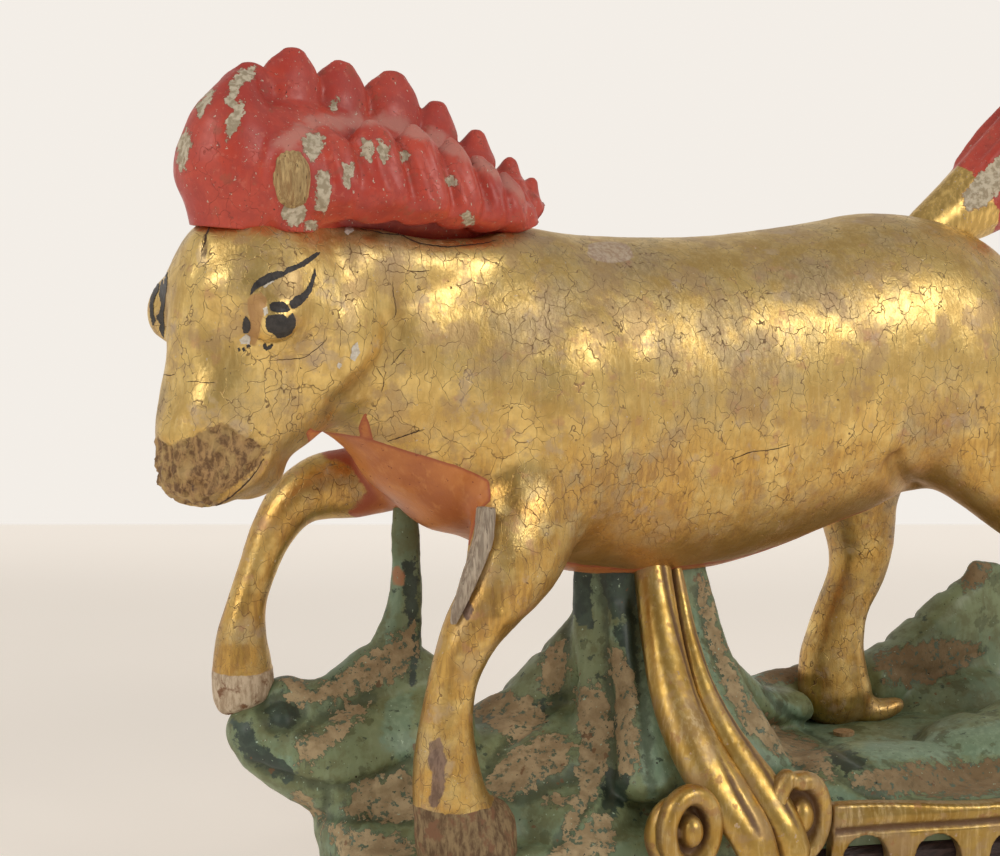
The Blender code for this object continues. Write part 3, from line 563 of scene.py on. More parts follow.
def hashed(ix, iy, iz, seed):
    h = (ix * 374761393 + iy * 668265263 + iz * 2147483647 + seed * 1274126177) & 0xFFFFFFFF
    h = ((h ^ (h >> 13)) * 1274126177) & 0xFFFFFFFF
    return ((h ^ (h >> 16)) & 0xFFFFFF) / float(0xFFFFFF) * 2 - 1


def lumps(points, size, seed=0, octaves=3):
    """Smooth random lumps, -1 to 1, `size` mm across."""
    total, amp, out = 0.0, 1.0, np.zeros(len(points))
    size = np.asarray(size, float)
    for o in range(octaves):
        q = points / size
        i = np.floor(q).astype(np.int64)
        f = q - i
        f = f * f * (3 - 2 * f)
        v = np.zeros(len(points))
        for dx in (0, 1):
            for dy in (0, 1):
                for dz in (0, 1):
                    w = np.where(dx, f[:, 0], 1 - f[:, 0]) * np.where(dy, f[:, 1], 1 - f[:, 1]) * np.where(dz, f[:, 2], 1 - f[:, 2])
                    v += w * hashed(i[:, 0] + dx, i[:, 1] + dy, i[:, 2] + dz, seed + o)
        out += v * amp
        total += amp
        amp *= 0.5
        size = size / 2.1
    return out / total


def to_line(points, line):
    """Distance of each point to a polyline, and how far along it (0 to 1)."""
    best = np.full(len(points), 1e9)
    along = np.zeros(len(points))
    n = len(line) - 1
    for k in range(n):
        a, b = np.array(line[k], float), np.array(line[k + 1], float)
        ab = b - a
        t = np.clip(((points - a) @ ab) / max(ab @ ab, 1e-9), 0, 1)
        d = np.linalg.norm(points - (a + t[:, None] * ab), axis=1)
        m = d < best
        best[m] = d[m]
        along[m] = (k + t[m]) / n
    return best, along


def inside_polygon(px, py, polygon):
    """Signed distance in picture points to a polygon, positive inside."""
    best = np.full(len(px), 1e9)
    odd = np.zeros(len(px), bool)
    n = len(polygon)
    for k in range(n):
        (x0, y0), (x1, y1) = polygon[k], polygon[(k + 1) % n]
        dx, dy = x1 - x0, y1 - y0
        t = np.clip(((px - x0) * dx + (py - y0) * dy) / (dx * dx + dy * dy + 1e-9), 0, 1)
        best = np.minimum(best, np.hypot(px - x0 - t * dx, py - y0 - t * dy))
        cross = ((y0 > py) != (y1 > py)) & (px < (x1 - x0) * (py - y0) / ((y1 - y0) or 1e-9) + x0)
        odd ^= cross
    return np.where(odd, best, -best)


def tree_of(obj):
    p = coords(obj)
    polys = [tuple(f.vertices) for f in obj.data.polygons]
    return BVHTree.FromPolygons([Vector(v) for v in p], polys)


def hit(trees, px, py):
    """The first point of the carving seen at a point of the picture."""
    best = None
    ray = seen_ray(px, py)
    for t in trees:
        p, n, _, d = t.ray_cast(EYE, ray)
        if p is not None and (best is None or d < best[2]):
            best = (p, n, d)
    return best


def line_on(trees, pts, steps=4):
    """A line drawn on the carving through points of the picture."""
    out = []
    for x, y in curve_through([tuple(map(float, p)) for p in pts], steps):
        h = hit(trees, x, y)
        if h:
            out.append(h[0])
    return out


def fine(name, bm, voxel, smooth):
    obj = add(name, bm)
    m = obj.modifiers.new("melt", "REMESH")
    m.mode = "VOXEL"
    m.voxel_size = voxel * MM
    m.use_smooth_shade = True
    if smooth:
        m = obj.modifiers.new("soften", "SMOOTH")
        m.factor = 0.5
        m.iterations = smooth
    bake(obj)
    return obj


def shade(obj):
    obj.data.polygons.foreach_set("use_smooth", np.ones(len(obj.data.polygons), bool))
    obj.data.update()


def push(obj, amount):
    """Moves each point along its normal by its amount in mm."""
    set_coords(obj, coords(obj) + normals(obj) * amount[:, None])


# ---- materials ----
class Graph:
    def __init__(self, name):
        self.m = bpy.data.materials.new(name)
        self.m.use_nodes = True
        self.t = self.m.node_tree
        self.t.nodes.clear()
        self.out = self.t.nodes.new("ShaderNodeOutputMaterial")
        self.bsdf = self.t.nodes.new("ShaderNodeBsdfPrincipled")
        self.t.links.new(self.bsdf.outputs[0], self.out.inputs[0])
        tc = self.t.nodes.new("ShaderNodeTexCoord")
        self.p = self.vmath("MULTIPLY", tc.outputs["Object"], (1000, 1000, 1000))

    def put(self, socket, value):
        if isinstance(value, (int, float)):
            socket.default_value = value
        elif isinstance(value, tuple):
            socket.default_value = (*value, 1.0) if len(socket.default_value) == 4 and len(value) == 3 else value
        else:
            self.t.links.new(value, socket)

    def vmath(self, op, a, b):
        n = self.t.nodes.new("ShaderNodeVectorMath")
        n.operation = op
        self.put(n.inputs[0], a)
        self.put(n.inputs[1], b)
        return n.outputs[0]

    def scaled(self, s, offset=(0.0, 0.0, 0.0)):
        return self.vmath("ADD", self.vmath("MULTIPLY", self.p, s), offset)

    def math(self, op, a, b=0.0, clamp=False):
        n = self.t.nodes.new("ShaderNodeMath")
        n.operation = op
        n.use_clamp = clamp
        self.put(n.inputs[0], a)
        self.put(n.inputs[1], b)
        return n.outputs[0]

    def noise(self, s, detail=3.0, rough=0.55, offset=(0.0, 0.0, 0.0), warp=None):
        n = self.t.nodes.new("ShaderNodeTexNoise")
        s = (s, s, s) if isinstance(s, (int, float)) else s
        v = self.scaled(s, offset)
        if warp is not None:
            v = self.vmath("ADD", v, warp)
        self.t.links.new(v, n.inputs["Vector"])
        n.inputs["Scale"].default_value = 1.0
        n.inputs["Detail"].default_value = detail
        n.inputs["Roughness"].default_value = rough
        return n.outputs["Fac"]

    def noise_vector(self, s, amount, detail=2.0):
        n = self.t.nodes.new("ShaderNodeTexNoise")
        self.t.links.new(self.scaled((s, s, s)), n.inputs["Vector"])
        n.inputs["Scale"].default_value = 1.0
        n.inputs["Detail"].default_value = detail
        v = self.vmath("SUBTRACT", n.outputs["Color"], (0.5, 0.5, 0.5))
        return self.vmath("MULTIPLY", v, (amount, amount, amount))

    def cracks(self, s, width, warp=None, offset=(0.0, 0.0, 0.0), randomness=1.0):
        """1 on the lines between cells, 0 inside them."""
        n = self.t.nodes.new("ShaderNodeTexVoronoi")
        n.feature = "DISTANCE_TO_EDGE"
        s = (s, s, s) if isinstance(s, (int, float)) else s
        v = self.scaled(s, offset)
        if warp is not None:
            v = self.vmath("ADD", v, warp)
        self.t.links.new(v, n.inputs["Vector"])
        n.inputs["Scale"].default_value = 1.0
        n.inputs["Randomness"].default_value = randomness
        return self.ramp(n.outputs["Distance"], 0.0, width, 1.0, 0.0)

    def cells(self, s, offset=(0.0, 0.0, 0.0), warp=None):
        n = self.t.nodes.new("ShaderNodeTexVoronoi")
        s = (s, s, s) if isinstance(s, (int, float)) else s
        v = self.scaled(s, offset)
        if warp is not None:
            v = self.vmath("ADD", v, warp)
        self.t.links.new(v, n.inputs["Vector"])
        n.inputs["Scale"].default_value = 1.0
        return n.outputs["Distance"], n.outputs["Color"]

    def ramp(self, value, a, b, lo=0.0, hi=1.0, smooth=True):
        n = self.t.nodes.new("ShaderNodeMapRange")
        n.interpolation_type = "SMOOTHSTEP" if smooth else "LINEAR"
        self.put(n.inputs["Value"], value)
        n.inputs["From Min"].default_value = a
        n.inputs["From Max"].default_value = b
        n.inputs["To Min"].default_value = lo
        n.inputs["To Max"].default_value = hi
        return n.outputs["Result"]

    def mix(self, fac, a, b, kind="MIX"):
        n = self.t.nodes.new("ShaderNodeMix")
        n.data_type = "RGBA"
        n.blend_type = kind
        self.put(n.inputs[0], fac)
        self.put(n.inputs[6], a)
        self.put(n.inputs[7], b)
        return n.outputs[2]

    def blend(self, fac, a, b):
        n = self.t.nodes.new("ShaderNodeMix")
        n.data_type = "FLOAT"
        self.put(n.inputs[0], fac)
        self.put(n.inputs[2], a)
        self.put(n.inputs[3], b)
        return n.outputs[0]

    def attr(self, name):
        n = self.t.nodes.new("ShaderNodeAttribute")
        n.attribute_name = name
        return n.outputs["Fac"]

    def edge(self, name, ragged=0.5, size=0.5, soft=0.12, bias=0.0):
        """1 inside a region whose signed distance in mm is stored on the mesh, with a ragged edge."""
        n = self.math("MULTIPLY", self.math("SUBTRACT", self.noise(size, 4.0, 0.65), 0.5), ragged * 2)
        d = self.math("ADD", self.math("ADD", self.attr(name), n), bias)
        return self.ramp(d, -soft, soft)

    def spots(self, s, threshold, soft=0.02, detail=4.0, offset=(0.0, 0.0, 0.0), rough=0.6):
        """Ragged spots: 1 where the noise passes the threshold."""
        return self.ramp(self.noise(s, detail, rough, offset), threshold, threshold + soft)

    def bump(self, height, distance, strength=1.0, after=None):
        n = self.t.nodes.new("ShaderNodeBump")
        self.put(n.inputs["Height"], height)
        n.inputs["Distance"].default_value = distance
        n.inputs["Strength"].default_value = strength
        if after is not None:
            self.t.links.new(after, n.inputs["Normal"])
        return n.outputs[0]

    def done(self, colour, metal, rough, normal=None, coat=None):
        self.put(self.bsdf.inputs["Base Color"], colour)
        self.put(self.bsdf.inputs["Metallic"], metal)
        self.put(self.bsdf.inputs["Roughness"], rough)
        if normal is not None:
            self.t.links.new(normal, self.bsdf.inputs["Normal"])
        if coat is not None:
            self.put(self.bsdf.inputs["Coat Weight"], coat)
        return self.m


def both(g, a, b):
    return g.math("MULTIPLY", a, b)


def either(g, a, b):
    return g.math("MAXIMUM", a, b)


class Layers:
    """Colour, metal, roughness and height, built up in layers."""

    def __init__(self, g, colour, metal, rough, height=0.0):
        self.g, self.colour, self.metal, self.rough, self.height = g, colour, metal, rough, height

    def over(self, fac, colour, metal, rough, height=None):
        g = self.g
        self.colour = g.mix(fac, self.colour, colour)
        self.metal = g.blend(fac, self.metal, metal)
        self.rough = g.blend(fac, self.rough, rough)
        if height is not None:
            self.height = g.blend(fac, self.height, height)
        return self

    def done(self, relief=0.00012, fine=None, fine_relief=0.00003):
        g = self.g
        n = g.bump(self.height, relief)
        if fine is not None:
            n = g.bump(fine, fine_relief, after=n)
        return g.done(self.colour, self.metal, self.rough, n)


def gilding(g, tarnish=0.5, bright=(0.82, 0.59, 0.22), mid=(0.58, 0.39, 0.135), dull=(0.32, 0.235, 0.125)):
    """Water gilding over bole, rubbed and toned."""
    streak = g.noise((0.9, 0.9, 0.10), 4.0, 0.6)
    cloud = g.noise(0.035, 4.0, 0.6)
    cloud2 = g.noise(0.11, 4.0, 0.65, offset=(40.0, 7.0, 3.0))
    leaf, leaf_colour = g.cells((0.055, 0.055, 0.055), warp=None, offset=(3.0, 1.0, 9.0))
    base = g.mix(g.ramp(cloud2, 0.35, 0.65), mid, bright)
    base = g.mix(both(g, g.ramp(streak, 0.48, 0.72), 0.35), base, (0.93, 0.73, 0.33))
    layers = Layers(g, base, 1.0, g.blend(g.ramp(cloud2, 0.3, 0.7), 0.44, 0.30), 0.5)
    # toned and rubbed areas, dull and brownish
    rub = g.ramp(g.math("ADD", g.math("MULTIPLY", cloud, 0.65), g.math("MULTIPLY", cloud2, 0.35)), 0.60 - 0.14 * tarnish, 0.72 - 0.10 * tarnish)
    layers.over(both(g, rub, 0.82), g.mix(g.ramp(streak, 0.4, 0.65), dull, (0.46, 0.35, 0.20)), 0.40, 0.52)
    film_ = g.ramp(g.noise(0.075, 5.0, 0.66, (17.0, 30.0, 2.0)), 0.50, 0.60)
    layers.over(both(g, film_, 0.30 + 0.25 * tarnish), (0.36, 0.235, 0.135), 0.30, 0.50)
    # brushed streaks where the bole shows
    layers.over(both(g, g.ramp(streak, 0.60, 0.80), g.ramp(cloud, 0.40, 0.66)), (0.33, 0.17, 0.06), 0.35, 0.5)
    return layers, streak, cloud, cloud2
# ---- smoothing and joining ----
def links(obj):
    n = len(obj.data.edges)
    e = np.empty(n * 2, np.int32)
    obj.data.edges.foreach_get("vertices", e)
    return e.reshape(-1, 2)


def relax(obj, weight, iterations):
    """Softens the surface where weight is above 0."""
    e = links(obj)
    n = len(obj.data.vertices)
    count = np.bincount(e.ravel(), minlength=n)[:, None]
    p = coords(obj)
    w = (0.5 * weight)[:, None]
    for _ in range(iterations):
        s = np.zeros_like(p)
        for k in range(3):
            s[:, k] = np.bincount(e[:, 0], p[e[:, 1], k], n) + np.bincount(e[:, 1], p[e[:, 0], k], n)
        p = p + w * (s / np.maximum(count, 1) - p)
    set_coords(obj, p)


def joined(name, objs, voxel, smooth):
    bm = bmesh.new()
    for o in objs:
        bm.from_mesh(o.data)
        drop(o)
    return fine(name, bm, voxel, smooth)


def seat_height(x):
    xs, zs = zip(*MANE_SEAT)
    return np.interp(x, xs, zs)


# ---- horse, gilded all over ----
bm = bmesh.new()
loft(bm, TRUNK, sides=56, power=2.15, steps=6, domes=(0.55, 0.2), facing=(-1, 0, 0))
loft(bm, [(*head(f, 0, z), rl, rf) for f, z, rl, rf in HEAD], across=LEFT, sides=48, power=2.3, steps=6, domes=(0.3, 0.55))
for side in (1, -1):
    ball(bm, head(13, 17.0 * side, 157.0), (8.0, 5.8, 6.6), (FWD, LEFT, UP), 4)
    ball(bm, head(12, 11.5 * side, 165), (8.5, 7.5, 5.5), (FWD, LEFT, UP), 4)
    ball(bm, head(-8, 14.5 * side, 151), (15, 8.6, 17), (FWD, LEFT, UP), 4)
    ball(bm, (8, -24.0 * side, 132), (19, 10, 26), None, 4)
    ball(bm, (128, -22 * side, 135), (23, 12, 27), None, 4)
ball(bm, head(13.6, -17.4, 158.0), (9.2, 7.6, 9.6), (FWD, LEFT, (UP * 0.96 - FWD * 0.28).normalized()), 4)
ball(bm, head(9.6, -13.5, 165.5), (7.6, 6.0, 8.0), (FWD, LEFT, UP), 4)
loft(bm, [(*head(18, 0, 172), 8, 6), (*head(22.5, 0, 158), 8.5, 5.5), (*head(24, 0, 144), 8, 6), (*head(26, 0, 130), 8, 7)], across=LEFT, sides=28, steps=5)
ball(bm, head(22, 0, 121.5), (11.2, 12.0, 8.8), (FWD, LEFT, UP), 4)
ball(bm, head(9.5, 0, 120.5), (9.5, 9.2, 7.4), (FWD, LEFT, UP), 4)
loft(bm, [(*head(-12, 0, 143), 9, 8), (*head(0, 0, 132), 9, 8), (*head(8, 0, 125), 8.5, 7)], across=LEFT, sides=28, steps=5)
ball(bm, (-24, 0, 127), (16, 20, 19), None, 4)
ball(bm, (-7, 0, 119), (19, 24, 19.5), None, 4)
loft(
    bm,
    [(0, 0, 164, 20, 11), (-12, 0, 163.5, 21, 11.5), (-25, 0, 163.5, 21.5, 12), (-40, -1, 165, 21.5, 12), (-54, -4, 166, 21, 12)],
    sides=40,
    power=2.8,
    steps=5,
    domes=(0.6, 0.3),
)
body = fine("body", bm, 1.4, 26)


def fine_leg(name, rows, hoof, extra=None):
    bm = bmesh.new()
    loft(bm, rows, sides=36, power=2.1, steps=6, domes=(0.3, 0.15))
    if hoof:
        loft(bm, hoof, sides=36, power=2.1, steps=5, domes=(0.1, 0.12))
    if extra:
        extra(bm)
    return fine(name, bm, 1.0, 6)


def heel(bm):
    ball(bm, (-17.5, -27, 31), (7, 6.5, 9), None, 4)


def hind_foot(bm):
    ball(bm, (120.5, 20, 39), (11.2, 10.4, 10.5), None, 4)
    loft(bm, [(124, 18, 34.5, 6, 4.4), (132, 15, 33.0, 4.8, 3.6), (138.5, 13, 34.5, 3.0, 2.4)], sides=24, steps=5)


horse = joined(
    "horse_gilding",
    [
        body,
        fine_leg("a", FORELEG_LEFT, HOOF_LEFT, heel),
        fine_leg("b", FORELEG_RIGHT, HOOF_RIGHT),
        fine_leg("c", HINDLEG_RIGHT, None, hind_foot),
        fine_leg("d", HINDLEG_LEFT, HOOF_HIND_LEFT),
    ],
    1.02,
    3,
)
p = coords(horse)
# the carver's soft run from shoulder and haunch into each leg
shoulders = [
    ((2, -20, 118), 24), ((-12, 18, 114), 20), ((128, 17, 112), 20), ((134, -19, 116), 24),
]
w = np.zeros(len(p))
for c, r in shoulders:
    w = np.maximum(w, 1 - smoothstep(r * 0.55, r * 1.15, np.linalg.norm(p - np.array(c), axis=1)))
relax(horse, w, 60)
p = coords(horse)
# the belly hangs a little
hang = smoothstep(0.05, 0.65, -normals(horse)[:, 2]) * (np.abs(p[:, 1]) < 34) * smoothstep(-16, 4, p[:, 0]) * (1 - smoothstep(104, 122, p[:, 0])) * smoothstep(80, 88, p[:, 2])
p[:, 2] -= 3.0 * hang * (1 - smoothstep(118, 134, p[:, 2]))
# flat bed under the mane
under = p[:, 0] < 14
p[under, 2] = np.minimum(p[under, 2], seat_height(p[under, 0]) - 0.15)
set_coords(horse, p)
horse_tree = [tree_of(horse)]

# carved lines
p = coords(horse)
amount = np.zeros(len(p))
CREASES = [
    # points in the picture, depth, half-width in mm, fade at the ends
    ([(398, 311), (395, 335), (388, 355), (375, 371), (350, 396), (326, 412)], 1.3, 3.8),
    ([(892, 453), (898, 470), (907, 485), (927, 491), (951, 511), (980, 526)], 1.5, 2.8),
    ([(268, 452), (258, 470), (240, 486), (224, 500), (212, 507)], 1.1, 1.1),
    ([(205, 236), (206, 246), (204, 256)], 0.5, 0.5),
    ([(222, 424), (226, 430), (240, 433)], 0.9, 1.1),
    ([(262, 296), (280, 303), (297, 303), (309, 290)], 0.35, 0.9),
    ([(246, 336), (262, 345), (283, 342), (300, 328)], 0.35, 0.9),
    ([(478, 505), (500, 480), (530, 462), (548, 455)], 0.5, 5.0),
    ([(600, 566), (640, 500), (650, 430), (640, 360)], 0.35, 8.0),
    ([(202, 262), (191, 290), (185, 330), (184, 372)], 0.35, 1.5),
    ([(257, 300), (254, 322), (252, 345)], 0.45, 1.6),
]
for pts, depth, half in CREASES:
    line = line_on(horse_tree, pts)
    if len(line) > 1:
        d, t = to_line(p, line)
        amount -= depth * np.exp(-((d / half) ** 2)) * smoothstep(0, 0.12, t) * (1 - smoothstep(0.88, 1, t))
# cheek, eyeball and brow stand out
for (px, py), high, r in (((169, 390), -1.9, 7.5), ((222, 290), 0.9, 7.0), ((200, 398), 0.5, 5.0), ((500, 619), 1.0, 2.6), ((345, 340), 0.9, 9.0), ((281, 323), 0.7, 3.6), ((292, 272), 0.6, 3.6), ((300, 300), 0.4, 4.0)):
    h = hit(horse_tree, px, py)
    if h:
        amount += high * np.exp(-((np.linalg.norm(p - np.array(h[0]), axis=1) / r) ** 2))
h = hit(horse_tree, 196, 490)
nostrils = [np.array(h[0])] if h else []
for c in nostrils:
    amount -= 1.6 * np.exp(-((np.linalg.norm(p - c, axis=1) / 1.5) ** 2))
# knife work under the gesso: soft facets, and a rough worn muzzle
amount += 0.16 * lumps(p, 9.0, 3, 3) + 0.07 * lumps(p, 2.4, 8, 3)
rel = p - np.array(head(0, 0, 0))
f_, l_ = rel @ np.array(FWD), rel @ np.array(LEFT)
upper = f_ - (15.0 + (127 - p[:, 2]) * 0.98)
muzzle = np.minimum(upper + 1.2 * lumps(p, 5, 21, 2), 132.3 - p[:, 2] + 1.6 * lumps(p, 4, 22, 2))
qx, qy = picture(p)
faces_eye = normals(horse) @ np.array(BACK) > -0.05
worn_nose = [(150, 432), (165, 446), (185, 440), (200, 432), (215, 424), (228, 426), (240, 434), (255, 440), (268, 450), (262, 466), (248, 480), (232, 492), (218, 503), (205, 515), (185, 520), (160, 512), (140, 480), (140, 445)]
muzzle = np.where(faces_eye, np.minimum(inside_polygon(qx, qy, worn_nose) / 4.2, 140.0 - p[:, 2]), muzzle)
inside = smoothstep(-0.3, 0.5, muzzle) * (p[:, 0] < -60)
swirl = p + 2.0 * np.stack([lumps(p, 5, 33, 2), lumps(p, 5, 35, 2), lumps(p, 5, 37, 2)], 1)
upright = (swirl @ np.array([[1, 0, 0.3], [0, 1, 0], [-0.3, 0, 1]])) * np.array([1, 1, 0.42])
amount -= inside * (0.20 + 2.8 * np.minimum(np.abs(lumps(upright, 3.0, 31, 3)), 0.45) - 0.9 * lumps(upright, 1.5, 38, 2))
# gesso of the hooves lies a little proud of the gilding, or is broken back from it
near_fore = np.linalg.norm(p[:, :2] - np.array([-24, -27]), axis=1) < 24
far_fore = np.linalg.norm(p[:, :2] - np.array([-60, 22]), axis=1) < 14
near_hind = np.linalg.norm(p[:, :2] - np.array([167, -24]), axis=1) < 20
hoof = np.full(len(p), -30.0)
wob = 0.5 * lumps(p, 3.0, 41, 2)
dip = 1.2 * np.cos((p[:, 0] + 24) * 0.15)
hoof = np.where(near_fore & (p[:, 2] < 60), 40.2 - dip * 0.5 - p[:, 2] + wob, hoof)
hoof = np.where(far_fore & (p[:, 2] < 80), 65.6 - p[:, 2] + wob, hoof)
hoof = np.where(near_hind & (p[:, 2] < 60), 46.5 - p[:, 2] + wob, hoof)
amount += smoothstep(-0.1, 0.25, hoof) * (0.22 + 0.30 * lumps(p * np.array([1, 1, 0.35]), 2.2, 44, 3))
push(horse, amount)
shade(horse)

# regions of the finish, as signed distances in mm
p = coords(horse)
n = normals(horse)
X, Y, Z = p.T
px, py = picture(p)
fore_near, _ = to_line(p, [r[:3] for r in FORELEG_LEFT])
fore_far, _ = to_line(p, [r[:3] for r in FORELEG_RIGHT])
edge_z = np.interp(X, [-60, -52, -44, -36, -28, -20, -14], [131, 128.6, 126.6, 124.6, 121.6, 117.6, 113.6])
chest = np.minimum(edge_z - Z, -13.6 - X)
chest = np.minimum(chest, np.where(Y > 0, fore_far - 9.6, 30))
chest = np.minimum(chest, np.where(Y < 0, fore_near - 9.5, 30))
chest = np.where(Z < 90, -30, chest)
hair, _ = to_line(p, [head(-14, 0, 128), head(4, 0, 116)])
chest = np.where(f_ > 2, -30, chest)
breast = [(304, 425), (314, 430), (364, 437), (418, 454), (464, 468), (489, 480), (491, 500), (478, 512), (470, 545), (440, 550), (400, 535), (350, 515), (330, 490), (310, 448)]
seen_breast = np.minimum(inside_polygon(px, py, breast) / 4.1, np.where(Y > 0, fore_far - 8.5, 30))
red_tip = inside_polygon(px, py, [(364, 412), (367, 414), (373, 440), (362, 440), (358, 428)]) / 4.1
seen_breast = np.maximum(seen_breast, red_tip)
seen_breast = np.where((X > 10) | (Z < 90) | (f_ > 2), -30, seen_breast)
chest = np.where(n @ np.array(BACK) > -0.05, np.minimum(seen_breast, np.where(Y < 0, fore_near - 7.5, 30)), chest)
belly = (-n[:, 2] - 0.86) * 22
belly = np.where((X > -14) & (X < 112) & (Z > 80) & (Z < 112) & (np.abs(Y) < 30), belly, -30)
belly = np.minimum(belly, np.minimum(fore_near, fore_far) - 10)
attribute(horse, "bole", np.maximum(chest, belly))
attribute(horse, "hoof", np.where(hoof > -29, hoof, -30))
# the near side, whose hooves are browner and also painted darker as shade
attribute(horse, "brown_and_shaded", (Y < 0).astype(float))
# surfaces of the trunk that face down, for painted shade under it
attribute(horse, "under", smoothstep(0.20, 0.85, -n[:, 2]) * (Z > 84) * (X > -20))
attribute(horse, "low", 1 - smoothstep(112, 142, Z))
attribute(horse, "muzzle", np.where(X < -60, muzzle, -30))
# the rubbed patch on the withers, the worn strip of the leg, and grey foot of the leaf
patch = inside_polygon(px, py, [(590, 243), (612, 240), (631, 246), (634, 258), (615, 263), (597, 262), (586, 254)]) / 4
attribute(horse, "withers", np.where(Y < 6, patch, -30))
tan = inside_polygon(px, py, [(246, 296), (262, 292), (268, 300), (262, 322), (256, 346), (246, 344), (250, 322)]) / 4.4
attribute(horse, "socket", np.where((Y < 2) & (X < -55), tan, -30))
stain = np.maximum(
    inside_polygon(px, py, [(430, 742), (440, 738), (446, 760), (444, 790), (438, 808), (428, 806), (432, 778), (428, 760)]),
    inside_polygon(px, py, [(459, 599), (469, 601), (474, 611), (467, 620), (461, 611)]),
) / 4.2
attribute(horse, "stain", np.where((Y < -14) & (Z < 95), stain, -30))
# the nostril pits, for painted shade inside them
nose = np.min([np.linalg.norm(p - c, axis=1) for c in nostrils], axis=0) if nostrils else np.full(len(p), 9.0)
attribute(horse, "nostril", 1.7 - nose)
# the carved mouth, forehead and nostril lines, for painted shade in them; the mouth and forehead lines are also cracked
groove = np.full(len(p), 99.0)
for pts, w_ in (([(268, 452), (258, 470), (240, 486), (224, 500), (212, 507)], 1), ([(205, 236), (206, 246), (204, 256)], 1), ([(222, 424), (226, 430), (240, 433)], 1)):
    line = line_on(horse_tree, pts)
    if len(line) > 1:
        groove = np.minimum(groove, to_line(p, line)[0])
attribute(horse, "groove", 0.55 - groove)
# mask for painted shade along the neck groove and the flank fold: distance to these carved lines
fold_shade = np.full(len(p), 99.0)
for pts, w_ in (([(400, 300), (397, 325), (390, 350), (375, 371), (350, 396), (328, 410)], 1), ([(892, 453), (898, 470), (907, 485), (927, 491), (951, 511), (980, 526)], 1)):
    line = line_on(horse_tree, pts)
    if len(line) > 1:
        fold_shade = np.minimum(fold_shade, to_line(p, line)[0])
attribute(horse, "fold_shade", 2.2 - fold_shade)
horse_tree = [tree_of(horse)]

# ---- mane ----
bm = bmesh.new()
loft(bm, MANE_CORE, sides=40, power=2.2, steps=6, domes=(0.6, 0.6))
loft(
    bm,
    [(*head(6.0, 0, 177), 11.2, 10.4), (*head(9.2, 0, 184), 12.8, 12.8), (*head(11.0, 0, 191), 13.0, 14.0), (*head(11.5, 0, 199), 10.5, 10.8), (*head(10.2, 0, 205), 7.0, 6.4), (*head(8.6, 0, 208.5), 4.0, 3.8)],
    across=LEFT,
    sides=36,
    steps=6,
    domes=(0.3, 0.7),
)
for x, y, z, along, drop_by in TIPS:
    lean = Vector((0.2, 0.0, 1.0)).normalized()
    tip = Vector((x, y, z))
    loft(
        bm,
        [(*(tip - lean * 1.0), 2.0, along * 0.48), (*(tip - lean * 4.6), 3.7, along * 0.92), (*(tip - lean * (drop_by * 0.42)), 5.9, along * 1.12), (*(tip - lean * drop_by), 8.5, along)],
        sides=28,
        steps=5,
        domes=(0.8, 0.2),
    )
for side in (-1, 1):
    for x, out, z, along, drop_by in LOBES:
        y = side * (out - 1.0) - 2.0 * max(0.0, min(1.0, (-30 - x) / 30))
        top = Vector((x, y, z))
        slope = Vector((0.0, side * 0.28, -1.0)).normalized()
        loft(
            bm,
            [(*(top + slope * 1.5), 2.0, along * 0.35), (*(top + slope * 5), 4.2, along * 0.85), (*(top + slope * (drop_by * 0.6)), 5.2, along * 1.05), (*(top + slope * drop_by), 5.5, along * 1.05)],
            sides=28,
            steps=5,
            domes=(0.8, 0.2),
        )
    ball(bm, head(4, side * 11.5, 187), (10, 8.5, 12), (FWD, LEFT, UP), 4)
mane = fine("mane_paint", bm, 0.72, 9)
p = coords(mane)
floor_z = seat_height(p[:, 0]) + 0.1
p[:, 2] = np.where(p[:, 2] < floor_z + 1.2, floor_z + np.maximum(0, (p[:, 2] - floor_z)) * smoothstep(-0.6, 1.2, p[:, 2] - floor_z), p[:, 2])
set_coords(mane, p)
# the red sits tight on the neck: its lower edge is drawn in to the gilding
low = seat_height(p[:, 0])
for k in np.nonzero(p[:, 2] < low + 9.0)[0]:
    q = Vector((p[k, 0], p[k, 1], low[k] - 1.2))
    at_, out_n, _, far_ = horse_tree[0].find_nearest(q)
    if at_ is None or (q - at_).dot(out_n) <= 0 or far_ > 16.0:
        continue
    way = Vector((at_.x - q.x, at_.y - q.y, 0.0))
    if way.length < 1e-4:
        continue
    goal = Vector((at_.x, at_.y, 0.0)) - way.normalized() * 0.35
    w = 1.0 - float(smoothstep(0.0, 9.0, p[k, 2] - low[k]))
    p[k, 0] += (goal.x - p[k, 0]) * w
    p[k, 1] += (goal.y - p[k, 1]) * w
set_coords(mane, p)
relax(mane, (p[:, 2] < low + 9.0) * (p[:, 2] > low + 0.9) * 1.0, 5)
p = coords(mane)
p[:, 2] -= 1.5 * (1 - smoothstep(0.0, 5.0, p[:, 2] - low))
set_coords(mane, p)
mane_tree = [tree_of(mane)]
p = coords(mane)
n = normals(mane)
X, Y, Z = p.T
amount = 0.10 * lumps(p, 4.0, 5, 3)
flute = np.cos(2 * np.pi * (X + 0.22 * (Z - 180)) / 5.2 + 2.0 * lumps(p, 16, 6, 1))
amount += 0.30 * flute * np.where(np.abs(Y) > 9, 1, 0) * smoothstep(177, 182, Z) * (1 - smoothstep(194, 200, Z)) * (X > -58)
scar = hit(mane_tree, 293, 178)
scar_at = np.array(scar[0]) if scar else np.array([-64, -24, 187.0])
px, py = picture(p)
near = n @ np.array(BACK) > -0.2
